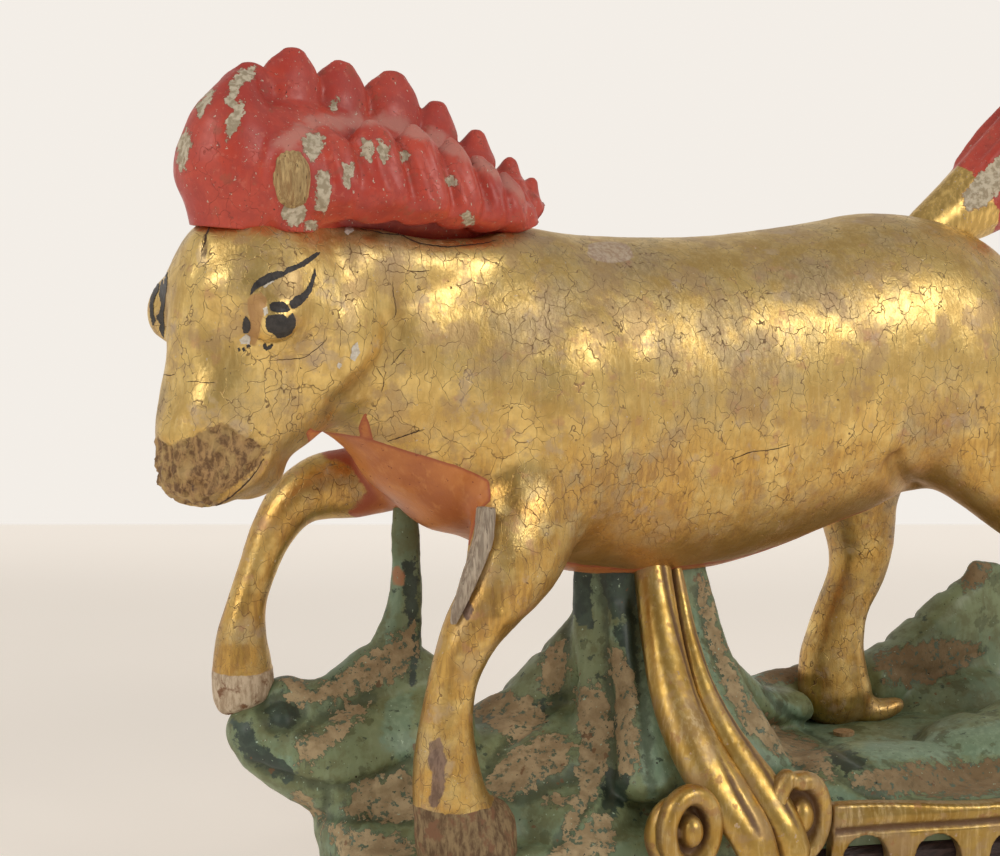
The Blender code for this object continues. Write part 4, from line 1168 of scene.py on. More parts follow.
chips = [
    [(303, 140), (312, 131), (324, 137), (320, 152), (312, 160), (303, 152)],
    [(319, 172), (327, 170), (330, 190), (325, 212), (317, 208), (316, 190)],
    [(283, 203), (296, 201), (306, 208), (302, 222), (290, 225), (282, 215)],
    [(306, 223), (316, 222), (317, 229), (307, 229)],
    [(344, 163), (352, 164), (353, 176), (350, 189), (344, 184)],
    [(362, 138), (370, 140), (373, 152), (370, 162), (362, 155)],
    [(379, 140), (387, 143), (390, 156), (384, 164), (379, 152)],
    [(402, 150), (407, 150), (408, 160), (403, 161)],
    [(448, 176), (453, 175), (455, 184), (450, 186)],
    [(232, 80), (242, 70), (256, 66), (252, 78), (240, 84), (234, 100), (244, 104), (240, 122), (228, 140), (226, 122), (234, 112), (226, 102)],
    [(180, 140), (186, 128), (190, 140), (186, 160), (180, 172), (178, 156)],
    [(196, 106), (206, 94), (214, 90), (208, 104), (200, 118)],
    [(330, 100), (336, 99), (338, 108), (331, 110)],
    [(462, 214), (470, 213), (474, 222), (466, 226)],
]
chip = np.full(len(p), -99.0)
for poly in chips:
    chip = np.maximum(chip, inside_polygon(px, py, poly) / 4.2)
chip = np.where(near, chip, -30.0)
hide = np.full(len(p), -30.0)
amount -= 0.15 * smoothstep(-0.3, 0.3, chip - 0.2 + 0.7 * lumps(p, 1.5, 61, 3))
# the seat of the lost ear is hollowed a little
amount -= 0.9 * np.exp(-((np.linalg.norm((p - scar_at) * np.array([1, 1, 0.75]), axis=1) / 4.6) ** 4))
push(mane, amount)
shade(mane)
p = coords(mane)
attribute(mane, "chip", chip)
tier = line_on(mane_tree, [(286, 143), (311, 125), (339, 121), (379, 121), (411, 130), (439, 141), (468, 155), (500, 175), (521, 193)])
attribute(mane, "valley", 3.4 - to_line(p, tier)[0] if len(tier) > 1 else np.full(len(p), -9.0))
mane_tree = [tree_of(mane)]

# the broken root of the left ear: end grain in an oval
scar = hit(mane_tree, 293, 178)
centre, facing_ = Vector(scar[0]), Vector(scar[1])
side_axis = UP.cross(facing_).normalized()
up_axis = facing_.cross(side_axis).normalized()
bm = bmesh.new()
ball(bm, centre - facing_ * 1.6, (4.7, 6.7, 2.6), (side_axis, up_axis, facing_), 4)
stub = fine("ear_root_wood", bm, 0.34, 2)
p = coords(stub)
rel = p - np.array(centre)
u_, v_ = rel @ np.array(side_axis), rel @ np.array(up_axis)
front = normals(stub) @ np.array(facing_) > 0.1
fibre = lumps(np.stack([u_, v_ * 0.10, u_ * 0], 1), 0.55, 71, 3) + 0.5 * lumps(np.stack([u_, v_ * 0.25, u_ * 0], 1), 1.4, 72, 2)
push(stub, np.where(front, 0.30 * fibre, 0))
shade(stub)

bm = bmesh.new()
root = head(4, -13, 181)
lean = (UP * 0.84 - FWD * 0.5 - LEFT * 0.2).normalized()
loft(
    bm,
    [(*(root - lean * 3), 4.2, 5.0), (*(root + lean * 4), 4.6, 5.6), (*(root + lean * 12), 4.2, 5.2), (*(root + lean * 19), 2.4, 3.4), (*(root + lean * 22), 1.0, 1.4)],
    across=LEFT,
    sides=28,
    steps=5,
    domes=(0.3, 0.5),
)
ear = fine("right_ear_gilding", bm, 0.5, 3)
p = coords(ear)
rel = p - np.array(root)
along = rel @ np.array(lean)
out_ = rel @ np.array(-LEFT)
push(ear, -1.5 * np.exp(-(((along - 12) / 7) ** 2)) * smoothstep(0.5, 3.0, out_) * np.exp(-(((rel @ np.array(FWD)) / 2.6) ** 2)))
shade(ear)

# ---- tail ----
bm = bmesh.new()
loft(bm, TAIL, sides=36, steps=6, domes=(0.5, 0.9))
for y in (-5.2, 0, 5.2):
    loft(bm, [(154, y, 183, 3.2, 10.5), (165, y * 1.2, 190.5, 3.6, 13), (175, y * 1.1, 200.5, 3.2, 12.5), (185, y * 0.7, 213.5, 2.4, 8.5)], sides=24, steps=5)
tail = fine("tail_paint", bm, 0.8, 6)
p = coords(tail)
d, t = to_line(p, [r[:3] for r in curve_through(TAIL, 4)])
line_z = np.interp(p[:, 0], [r[0] for r in TAIL], [r[2] for r in TAIL])
angle = np.arctan2(p[:, 2] - line_z, p[:, 1] * 1.2)
hairs = np.cos(angle * 11 + 3.0 * t + 1.2 * lumps(p, 20, 81, 1))
push(tail, 0.32 * hairs * smoothstep(0.25, 0.45, t) + 0.08 * lumps(p, 3, 82, 2))
shade(tail)
p = coords(tail)
px, py = picture(p)
attribute(tail, "along", t * 100.0)
loss = inside_polygon(px, py, [(962, 196), (978, 176), (996, 158), (1020, 150), (1040, 160), (1030, 182), (1000, 190), (984, 206), (968, 210)]) / 3.7
attribute(tail, "chip", np.where(p[:, 1] < 3, loss, -30))

# ---- repair strip on the left foreleg ----
bm = bmesh.new()
loft(
    bm,
    [(-19.4, -29.6, 110.5, 2.3, 2.0), (-20.8, -30.4, 103, 2.1, 2.2), (-24.2, -30.8, 95, 1.5, 2.0), (-27.2, -30.8, 88, 1.0, 1.5), (-28.6, -30.4, 84, 0.6, 0.9)],
    sides=24,
    power=3.4,
    steps=6,
    domes=(0.12, 0.5),
)
splice = fine("leg_repair_wood", bm, 0.42, 2)
p = coords(splice)
push(splice, 0.22 * lumps(p * np.array([1, 1, 0.12]), 0.8, 91, 3) + 0.10 * lumps(p, 2.5, 92, 2))
shade(splice)

# ---- rockwork ----
bm = bmesh.new()
prism(bm, board_outline(-1.2, 80), BOARD_TOP - 4, 27)
loft(
    bm,
    [(-38, 4, 22, 22, 10), (-22, 3, 24, 30, 13), (-4, 7, 26, 33, 21), (22, 8, 27, 34, 25), (50, 7, 26, 35, 24), (74, 6, 25, 36, 14), (98, 5, 24, 37, 7.5), (140, 3, 24, 34, 7.0), (170, 0, 24, 24, 8)],
    sides=48,
    steps=6,
    domes=(0.6, 0.6),
)
loft(bm, [(70, 22, 36, 11, 9), (86, 26, 36.5, 10, 8), (102, 30, 36, 9, 7.6), (120, 32, 37, 8.5, 7.6), (138, 30, 38, 9, 8), (152, 28, 39, 9, 9)], sides=30, steps=6, domes=(0.6, 0.4))
ball(bm, (-24, -25, 20), (21, 17, 7.5), None, 4)
ball(bm, (10, -14, 26), (20, 20, 12), None, 4)
ball(bm, (100, -22, 27), (34, 18, 8.5), None, 4)
ball(bm, (146, -20, 27), (26, 20, 11), None, 4)
loft(bm, [(-10, 8, 36, 15, 24), (-24, 10, 38, 16, 21), (-38, 12.5, 42, 15.5, 16), (-50, 15.5, 45.5, 13.5, 11.5), (-58, 17, 48.5, 10, 8.5)], sides=40, steps=6, domes=(0.2, 0.8))
loft(bm, [(-20, 4, 22, 26, 12), (-34, 4, 24, 22, 10), (-43, 6, 28, 14, 7)], sides=40, steps=6, domes=(0.2, 0.6))
ball(bm, (-51, 18, 57), (6.8, 7, 6.5), None, 4)
ball(bm, (-60, 17, 50.5), (7.0, 8, 7.0), None, 4)
loft(bm, [(-48, 16, 55, 7, 6), (-38, 14.5, 58, 6.5, 6.5), (-26, 13.5, 62, 6, 9), (-16, 12, 58, 5, 9)], sides=28, steps=6)
loft(bm, [(136, 26, 38, 9, 7), (148, 27, 40, 8, 10), (158, 27, 43, 7, 13.5), (168, 26, 46.5, 6, 17.5), (177, 25, 47, 5, 19), (184, 24, 44, 4, 16)], sides=36, power=3.4, steps=6, domes=(0.3, 0.2), facing=(1, 0, 0))
loft(bm, [(179, 24.5, 56, 3.4, 8.2), (179.5, 24.5, 64, 3.0, 7.4), (180.5, 24.5, 70.5, 2.6, 6.2)], sides=28, power=4, steps=6, domes=(0.2, 0.25))
loft(bm, [(171, 25.5, 58, 3.2, 4.5), (171.8, 25.5, 65, 2.6, 2.6)], sides=24, power=3, steps=6, domes=(0.2, 0.3))
loft(bm, [(150, 22, 29, 10, 8), (166, 20, 30, 12, 9), (178, 18, 30, 10, 9)], sides=28, steps=6)
loft(bm, [(150, -22, 26, 20, 12), (160, -23, 30, 18, 13), (170, -22, 28, 14, 12)], sides=36, steps=6)
stones = fine("r0", bm, 1.4, 4)
bm = bmesh.new()
loft(bm, PILLAR, sides=96, power=2.2, steps=6, domes=(0.1, 0.3), flutes=(8, 0.075), facing=(0, 0, -1))
loft(bm, [(31, 4, 68, 8, 9), (24, 8, 58, 9, 9.5), (15, 12, 49, 9.5, 8.5), (3, 15, 42.5, 9, 7)], sides=28, steps=6)
loft(bm, [(58, 3, 64, 6, 7), (67, 7, 55, 7, 7.5), (78, 12, 46, 8, 7), (92, 18, 39, 9, 5.5), (106, 22, 36, 9, 5)], sides=28, steps=6)
column = fine("r1", bm, 1.2, 3)
bm = bmesh.new()
loft(bm, SPIRE, sides=24, power=2.4, steps=6, domes=(0.3, 0.2))
needle = fine("r2", bm, 0.9, 1)
rock = joined("rockwork_paint", [stones, column, needle], 1.05, 3)
p = coords(rock)
p[:, 2] = np.maximum(p[:, 2], BOARD_TOP + 0.32)
set_coords(rock, p)
rock_tree = [tree_of(rock)]
p = coords(rock)
px, py = picture(p)
ROCK_LINES = [
    ([(250, 760), (268, 772), (286, 777), (310, 784), (340, 786), (370, 779), (400, 766), (414, 758)], 1.5, 1.5),
    ([(300, 800), (322, 815), (350, 820), (380, 818), (411, 822)], 0.7, 1.4),
    ([(262, 716), (266, 704), (280, 699), (296, 703), (300, 716), (291, 726), (276, 728), (264, 720)], 1.1, 1.7),
    ([(300, 735), (318, 722), (335, 712), (352, 706), (374, 697)], 1.0, 1.9),
    ([(326, 786), (328, 800), (320, 822)], 0.7, 1.1),
    ([(372, 780), (376, 800), (372, 820)], 0.5, 1.1),
    ([(486, 776), (498, 752), (520, 732), (545, 712), (566, 694)], 1.2, 2.4),
    ([(520, 800), (545, 786), (575, 775), (590, 760)], 0.9, 2.6),
    ([(600, 575), (606, 640), (611, 720), (611, 790), (590, 840)], 1.0, 1.5),
    ([(636, 590), (638, 660), (644, 720), (652, 790)], 1.1, 1.8),
    ([(698, 590), (712, 645), (738, 700), (770, 742), (812, 778)], 0.8, 1.5),
    ([(716, 575), (726, 620), (744, 660), (776, 704), (830, 745), (868, 768)], 0.8, 1.5),
    ([(832, 768), (858, 790), (900, 800), (960, 802), (1000, 800)], 1.1, 1.4),
    ([(892, 668), (910, 672), (930, 675), (950, 668), (985, 650)], 1.0, 1.3),
    ([(556, 690), (566, 640), (572, 590)], 0.7, 2.2),
    ([(552, 852), (572, 824), (592, 800)], 0.9, 1.4),
]
amount = 0.25 + 0.42 * lumps(p, 11.0, 101, 3) + 0.16 * lumps(p, 2.6, 104, 2)
# distance to the carved folds, for painted shade in them
rock_groove = np.full(len(p), 99.0)
for pts, depth, half in ROCK_LINES:
    line = line_on(rock_tree, pts)
    if len(line) > 1:
        d, t = to_line(p, line)
        amount -= depth * np.exp(-((d / half) ** 2)) * smoothstep(0, 0.1, t) * (1 - smoothstep(0.9, 1, t))
        rock_groove = np.minimum(rock_groove, d - half * 0.45)
for cx, cy, high, r in ((282, 716, 0.5, 2.2), (298, 745, 0.6, 6.0), (360, 745, 0.9, 11), (556, 800, -0.5, 2.4), (622, 600, -1.4, 4.5), (336, 800, 0.6, 7)):
    h = hit(rock_tree, cx, cy)
    if h:
        amount += high * np.exp(-((np.linalg.norm(p - np.array(h[0]), axis=1) / r) ** 2))
# the same folds, wound round the sides the photographer left out
back_fold = np.sin(p[:, 0] * 0.16 + 2.4 * lumps(p, 34, 111, 1) + p[:, 2] * 0.10)
behind = smoothstep(0.0, 0.3, normals(rock)[:, 1])
amount -= 1.0 * behind * np.exp(-((back_fold / 0.34) ** 2)) * smoothstep(20, 26, p[:, 2])
rock_groove = np.where(behind > 0.5, np.minimum(rock_groove, np.abs(back_fold) * 5 - 0.6), rock_groove)
# broken edges where the paint has come away
seen_side = (normals(rock) @ np.array(BACK) > -0.12)
TAN = [
    [(400, 632), (415, 622), (416, 655), (396, 680), (368, 688), (347, 696), (320, 706), (306, 700), (345, 672), (380, 648)],
    [(283, 680), (296, 677), (308, 684), (310, 700), (300, 706), (286, 700)],
    [(327, 713), (345, 706), (369, 706), (366, 717), (345, 723), (333, 724)],
    [(296, 744), (305, 738), (320, 736), (335, 726), (347, 722), (352, 728), (335, 742), (325, 752), (315, 764), (304, 766), (298, 757)],
    [(350, 800), (352, 786), (368, 780), (385, 777), (402, 770), (416, 776), (416, 822), (395, 822), (372, 820), (352, 816), (344, 810)],
    [(290, 794), (303, 792), (316, 800), (322, 822), (310, 812), (296, 802)],
    [(324, 826), (340, 827), (350, 833), (372, 832), (395, 838), (414, 842), (414, 860), (345, 860), (334, 842)],
    [(478, 687), (500, 690), (520, 697), (540, 700), (545, 720), (530, 735), (505, 737), (490, 727), (478, 712)],
    [(486, 776), (500, 757), (530, 742), (560, 735), (575, 745), (560, 770), (530, 790), (505, 800), (492, 796)],
    [(543, 652), (563, 641), (568, 660), (560, 690), (548, 702), (540, 682)],
    [(578, 736), (588, 708), (602, 700), (608, 720), (606, 760), (598, 790), (585, 812), (570, 838), (558, 852), (572, 806), (582, 770)],
    [(547, 856), (575, 835), (600, 810), (613, 822), (612, 858), (547, 858)],
    [(545, 796), (556, 792), (568, 797), (566, 804), (556, 806), (546, 803)],
    [(608, 652), (620, 650), (630, 668), (636, 700), (636, 735), (638, 768), (631, 778), (621, 772), (617, 740), (612, 700)],
    [(578, 690), (598, 682), (608, 700), (609, 740), (605, 770), (597, 795), (580, 815)],
    [(697, 574), (703, 578), (710, 602), (717, 626), (726, 652), (738, 682), (752, 702), (768, 718), (786, 732), (806, 739), (823, 752), (832, 766), (834, 778), (815, 774), (790, 759), (765, 744), (745, 724), (730, 702), (719, 672), (709, 642), (700, 600)],
    [(852, 774), (880, 768), (930, 765), (1010, 761), (1010, 791), (960, 798), (920, 794), (890, 794), (868, 788), (854, 782)],
    [(872, 655), (900, 648), (940, 640), (985, 645), (965, 666), (930, 684), (890, 684)],
    [(752, 672), (780, 664), (800, 660), (806, 672), (790, 682), (768, 684)],
    [(955, 560), (975, 556), (990, 566), (984, 584), (966, 590), (956, 576)],
]
# darker patches of the rock: darker paint, and painted shade on the spire's shaded side, in the spiral hollow and in
# the fold below the left lobe
DARK_PAINT_AND_SHADE = [
    [(598, 566), (644, 566), (640, 590), (637, 622), (612, 616), (603, 600)],
    [(614, 640), (620, 618), (636, 624), (642, 660), (640, 694), (633, 674), (622, 651)],
    [(604, 770), (625, 767), (631, 785), (626, 806), (612, 816), (602, 806)],
    [(566, 568), (592, 568), (592, 628), (577, 626), (568, 602)],
    [(827, 748), (850, 752), (867, 760), (861, 769), (845, 773), (831, 766)],
    [(264, 707), (280, 700), (298, 706), (299, 718), (288, 728), (268, 724)],
    [(404, 560), (416, 560), (419, 620), (416, 680), (410, 690), (408, 640)],
    [(522, 705), (545, 700), (548, 716), (532, 722)],
    [(616, 690), (620, 720), (622, 760), (617, 764), (612, 720)],
    [(232, 722), (250, 722), (262, 744), (282, 760), (300, 772), (286, 782), (262, 770), (242, 750)],
]
TEAL = [
    [(640, 645), (655, 640), (660, 700), (668, 740), (666, 778), (650, 800), (640, 770), (638, 700)],
    [(693, 606), (704, 640), (716, 680), (732, 716), (752, 742), (790, 762), (832, 788), (880, 806), (842, 806), (800, 792), (752, 762), (724, 728), (706, 690), (696, 650)],
    [(280, 757), (292, 755), (298, 766), (288, 772), (280, 766)],
    [(610, 628), (622, 626), (624, 640), (614, 643)],
    [(384, 640), (392, 600), (394, 560), (402, 560), (402, 600), (396, 640), (386, 660)],
    [(386, 700), (412, 690), (412, 758), (400, 764), (380, 740)],
    [(740, 640), (760, 680), (800, 712), (860, 740), (900, 740), (960, 730), (1010, 720), (1010, 755), (940, 760), (880, 760), (820, 742), (770, 708), (742, 670)],
]


def region(polys, scale=4.1):
    out = np.full(len(p), -99.0)
    for poly in polys:
        out = np.maximum(out, inside_polygon(px, py, poly) / scale)
    return np.where(seen_side, out, -30.0)


tan_r = region(TAN)
amount -= 0.14 * smoothstep(-0.2, 0.2, tan_r + 1.1 * lumps(p, 2.4, 121, 3))
top_cap = p[:, 2] <= BOARD_TOP + 0.4
amount[top_cap] = 0
dark_paint_and_shade_r, teal_r = region(DARK_PAINT_AND_SHADE), region(TEAL)
push(rock, amount)
shade(rock)
attribute(rock, "tan", tan_r)
attribute(rock, "dark", dark_paint_and_shade_r)
attribute(rock, "teal", teal_r)
attribute(rock, "groove", 0.9 - rock_groove)
attribute(rock, "seen", seen_side.astype(float))
attribute(rock, "warm", smoothstep(72, 110, p[:, 0]) * 0.65)
chip_r = inside_polygon(px, py, [(392, 568), (400, 566), (405, 576), (403, 586), (394, 584)]) / 4.1
attribute(rock, "orange", np.where(seen_side, chip_r, -30))

# ---- gilt water and scrolls ----
bm = bmesh.new()
loft(bm, [(37.8, -11, 91, 4.9, 4.6), (37.1, -14.5, 82, 5.1, 4.6), (35.4, -21, 70, 5.5, 4.8), (34.0, -29, 58, 6.1, 5.2), (35.0, -36.6, 47.5, 6.8, 5.3), (38.6, -44.0, 37, 7.2, 4.8), (42.4, -49.4, 29, 6.2, 4.0), (44.6, -52, 21, 5.4, 3.6)], across=(1, 0, 0), sides=28, steps=6)
rib_left = fine("water_left", bm, 0.6, 4)
bm = bmesh.new()
loft(bm, [(44.6, -8.4, 91, 2.2, 4.4), (44.4, -11.9, 82, 2.6, 4.4), (43.4, -18.4, 70, 3.3, 4.6), (43.2, -26.4, 58, 4.0, 4.8), (45.6, -34.6, 47, 4.9, 4.9), (50.0, -42.4, 37, 5.8, 4.6), (53.6, -48.4, 28, 5.2, 4.0), (55.4, -51, 21, 4.6, 3.4)], across=(1, 0, 0), sides=28, steps=6)
rib_right = fine("water_right", bm, 0.6, 4)


def volute(bm, cx, cy, cz, r0, r1, turns, start, tube0, tube1, stretch, knob):
    rows = []
    n = int(24 * turns)
    for i in range(n + 1):
        t = i / n
        a = start + 2 * math.pi * turns * t
        r = r0 + (r1 - r0) * t
        tube = tube0 + (tube1 - tube0) * t
        rows.append((cx + r * math.cos(a), cy - 1.5 * t, cz + r * stretch * math.sin(a), tube * 1.15, tube))
    loft(bm, rows, across=(0, 1, 0), sides=20, steps=2)
    ball(bm, (cx, cy - 1.0, cz), (knob, knob * 1.1, knob * stretch), None, 4)


bm = bmesh.new()
volute(bm, 26.0, -47.5, 31, 7.0, 6.6, 0.92, math.radians(-70), 2.7, 2.5, 1.3, 3.2)
ball(bm, (25.5, -43, 29), (8.5, 5, 9.5), None, 4)
curl_left = fine("scroll_left_gilt", bm, 0.5, 3)
bm = bmesh.new()
volute(bm, 59.4, -46.5, 29.5, 7.6, 6.2, 0.95, math.radians(115), 2.5, 2.4, 1.45, 3.2)
ball(bm, (62, -43, 29), (8, 5, 10.5), None, 4)
curl_right = fine("scroll_right_gilt", bm, 0.5, 3)
gilt_carving = [rib_left, rib_right, curl_left, curl_right]
for k, obj in enumerate(gilt_carving):
    p = coords(obj)
    p[:, 2] = np.maximum(p[:, 2], BOARD_TOP + 0.32)
    set_coords(obj, p)
    n = normals(obj)
    depth = 0.10 * lumps(p, 3.6, 131 + k, 3)
    if k < 2:
        line = [(r[0] + (1.0 if k == 0 else 0.4), r[1] - 4.6, r[2]) for r in curve_through(
            [(37.5, -11, 91), (37.0, -21, 70), (36.4, -29, 58), (36.6, -37, 47.5), (39.2, -45, 37), (42, -50, 29)]
            if k == 0
            else [(44.8, -9, 91), (44.6, -19, 70), (45.6, -27, 58), (48.2, -35, 47), (52.0, -43, 37), (55.5, -49, 28)], 4)]
        d, t = to_line(p, line)
        depth -= (0.45 if k == 0 else 0.3) * np.exp(-((d / 0.9) ** 2))
    if k < 2:
        side_line = curve_through([(44.6, -8.4, 91), (43.4, -18.4, 70), (43.2, -26.4, 58), (45.6, -34.6, 47), (50.0, -42.4, 37), (53.6, -48.4, 28), (55.4, -51, 21)], 4) if k == 0 else curve_through([(37.8, -11, 91), (35.4, -21, 70), (34.0, -29, 58), (35.0, -36.6, 47.5), (38.6, -44.0, 37), (42.4, -49.4, 29), (44.6, -52, 21)], 4)
        far_off, _ = to_line(p, [r[:3] for r in side_line])
        # the hollow between the two ribs and their carved lines, for painted shade
        hollow = (5.0 if k == 0 else 6.4) - far_off
        hollow = np.maximum(hollow, 0.9 - d)
    else:
        cx, cz, stretch = ((26.0, 31.0, 1.3), (59.4, 29.5, 1.45))[k - 2]
        radial = np.hypot(p[:, 0] - cx, (p[:, 2] - cz) / stretch)
        # the ring groove round the knob and all beyond the coil, for painted shade
        hollow = 0.95 - np.abs(radial - 3.9)
        hollow = np.maximum(hollow, radial - (9.0 if k == 2 else 9.6))
    push(obj, depth)
    attribute(obj, "groove", hollow)
    shade(obj)

# ---- openwork strips ----
ROUND = 720
PLAN = [board_point(-math.pi + 2 * math.pi * i / ROUND, GAP) for i in range(ROUND + 1)]
RUN = [0.0]
for (x0, y0), (x1, y1) in zip(PLAN, PLAN[1:]):
    RUN.append(RUN[-1] + math.hypot(x1 - x0, y1 - y0))


def on_plan(length, out=0.0):
    i = min(range(ROUND), key=lambda k: abs(RUN[k] - length))
    a, b = PLAN[max(i - 2, 0)], PLAN[min(i + 2, ROUND)]
    along = Vector((b[0] - a[0], b[1] - a[1], 0)).normalized()
    normal = Vector((along.y, -along.x, 0))
    return Vector((*PLAN[i], 0)) + normal * out, along, normal


def run_at(x, front):
    ids = range(0, ROUND // 2) if front else range(ROUND // 2, ROUND)
    return RUN[min(ids, key=lambda k: abs(PLAN[k][0] - x))]


def openwork(name, s0, s1, arches):
    """The strip seen closer: a rolled top moulding, carved posts and round-headed openings."""
    steps = max(24, int((s1 - s0) / 2.5))
    points = [on_plan(s0 + (s1 - s0) * i / steps) for i in range(steps + 1)]
    inner = [(q.x, q.y) for q, _, _ in points]
    outer = [(q.x + n_.x * (FRIEZE_THICK - 0.5), q.y + n_.y * (FRIEZE_THICK - 0.5)) for q, _, n_ in points]
    bm = bmesh.new()
    prism(bm, inner + outer[::-1], FRIEZE_LOW, FRIEZE_TOP - 0.2)
    obj = add(name + "_blank", bm, False)
    profile = [(-ARCH_R, 7.5), (ARCH_R, 7.5)] + [(ARCH_R * math.cos(t), 15.2 + ARCH_R * math.sin(t)) for t in [math.pi * k / 12 for k in range(13)]]
    for i in range(arches):
        centre, along, out = on_plan(s0 + (s1 - s0) * (i + 0.5) / arches)
        bm = bmesh.new()
        faces = [[bm.verts.new((centre + along * s + out * way + UP * z + SHIFT) * MM) for s, z in profile] for way in (-4, 12)]
        bm.faces.new(faces[0])
        bm.faces.new(faces[1])
        for k in range(len(profile)):
            j = (k + 1) % len(profile)
            bm.faces.new((faces[0][k], faces[0][j], faces[1][j], faces[1][k]))
        bmesh.ops.recalc_face_normals(bm, faces=bm.faces[:])
        tool = add("arch", bm)
        boolean(obj, tool, "DIFFERENCE")
        drop(tool)
    bm = bmesh.new()
    bm.from_mesh(obj.data)
    drop(obj)
    obj = fine(name, bm, 0.62, 3)
    p = coords(obj)
    if name == "openwork_front":
        p[:, 2] *= 1 + 0.075 * (1 - smoothstep(70, 112, p[:, 0]))
        set_coords(obj, p)
    n = normals(obj)
    plan = np.array([(q.x, q.y) for q, _, _ in points])
    outward = np.array([(n_.x, n_.y) for _, _, n_ in points])
    near = np.argmin(((p[:, None, :2] - plan[None]) ** 2).sum(axis=2), axis=1)
    facing_out = (n[:, :2] * outward[near]).sum(axis=1)
    z = p[:, 2]
    amount = 0.08 * lumps(p, 3.0, 141, 3)
    face = smoothstep(0.3, 0.8, facing_out)
    amount += face * (0.55 * np.exp(-(((z - 27.4) / 1.5) ** 2)) - 0.9 * np.exp(-(((z - 24.6) / 0.75) ** 2)) + 0.30 * np.exp(-(((z - 22.8) / 0.8) ** 2)))
    amount += face * 0.30 * np.exp(-(((z - 5.0) / 1.4) ** 2))
    length = near / steps * (s1 - s0)
    period = (s1 - s0) / arches
    at = (length / period) % 1.0
    post = np.minimum(at, 1 - at) * period
    amount -= face * 0.5 * np.exp(-((post / 0.8) ** 2)) * smoothstep(7, 9, z) * (1 - smoothstep(19, 21.5, z))
    push(obj, amount)
    shade(obj)
    # the sunk line under the top moulding, for painted shade in it
    attribute(obj, "groove", 0.9 - np.abs(z - 24.6) * face - (1 - face) * 5)
    return obj


front_a, front_b = run_at(69, True), run_at(163, True)
back_a, back_b = run_at(161, False), run_at(-20, False)
strip_front = openwork("openwork_front", front_a, front_b - 0.3, 5)
strip_end = openwork("openwork_end", front_b + 0.3, back_a - 0.3, 6)
strip_back = openwork("openwork_back", back_a + 0.3, back_b, 9)
strips = [strip_front, strip_end, strip_back]

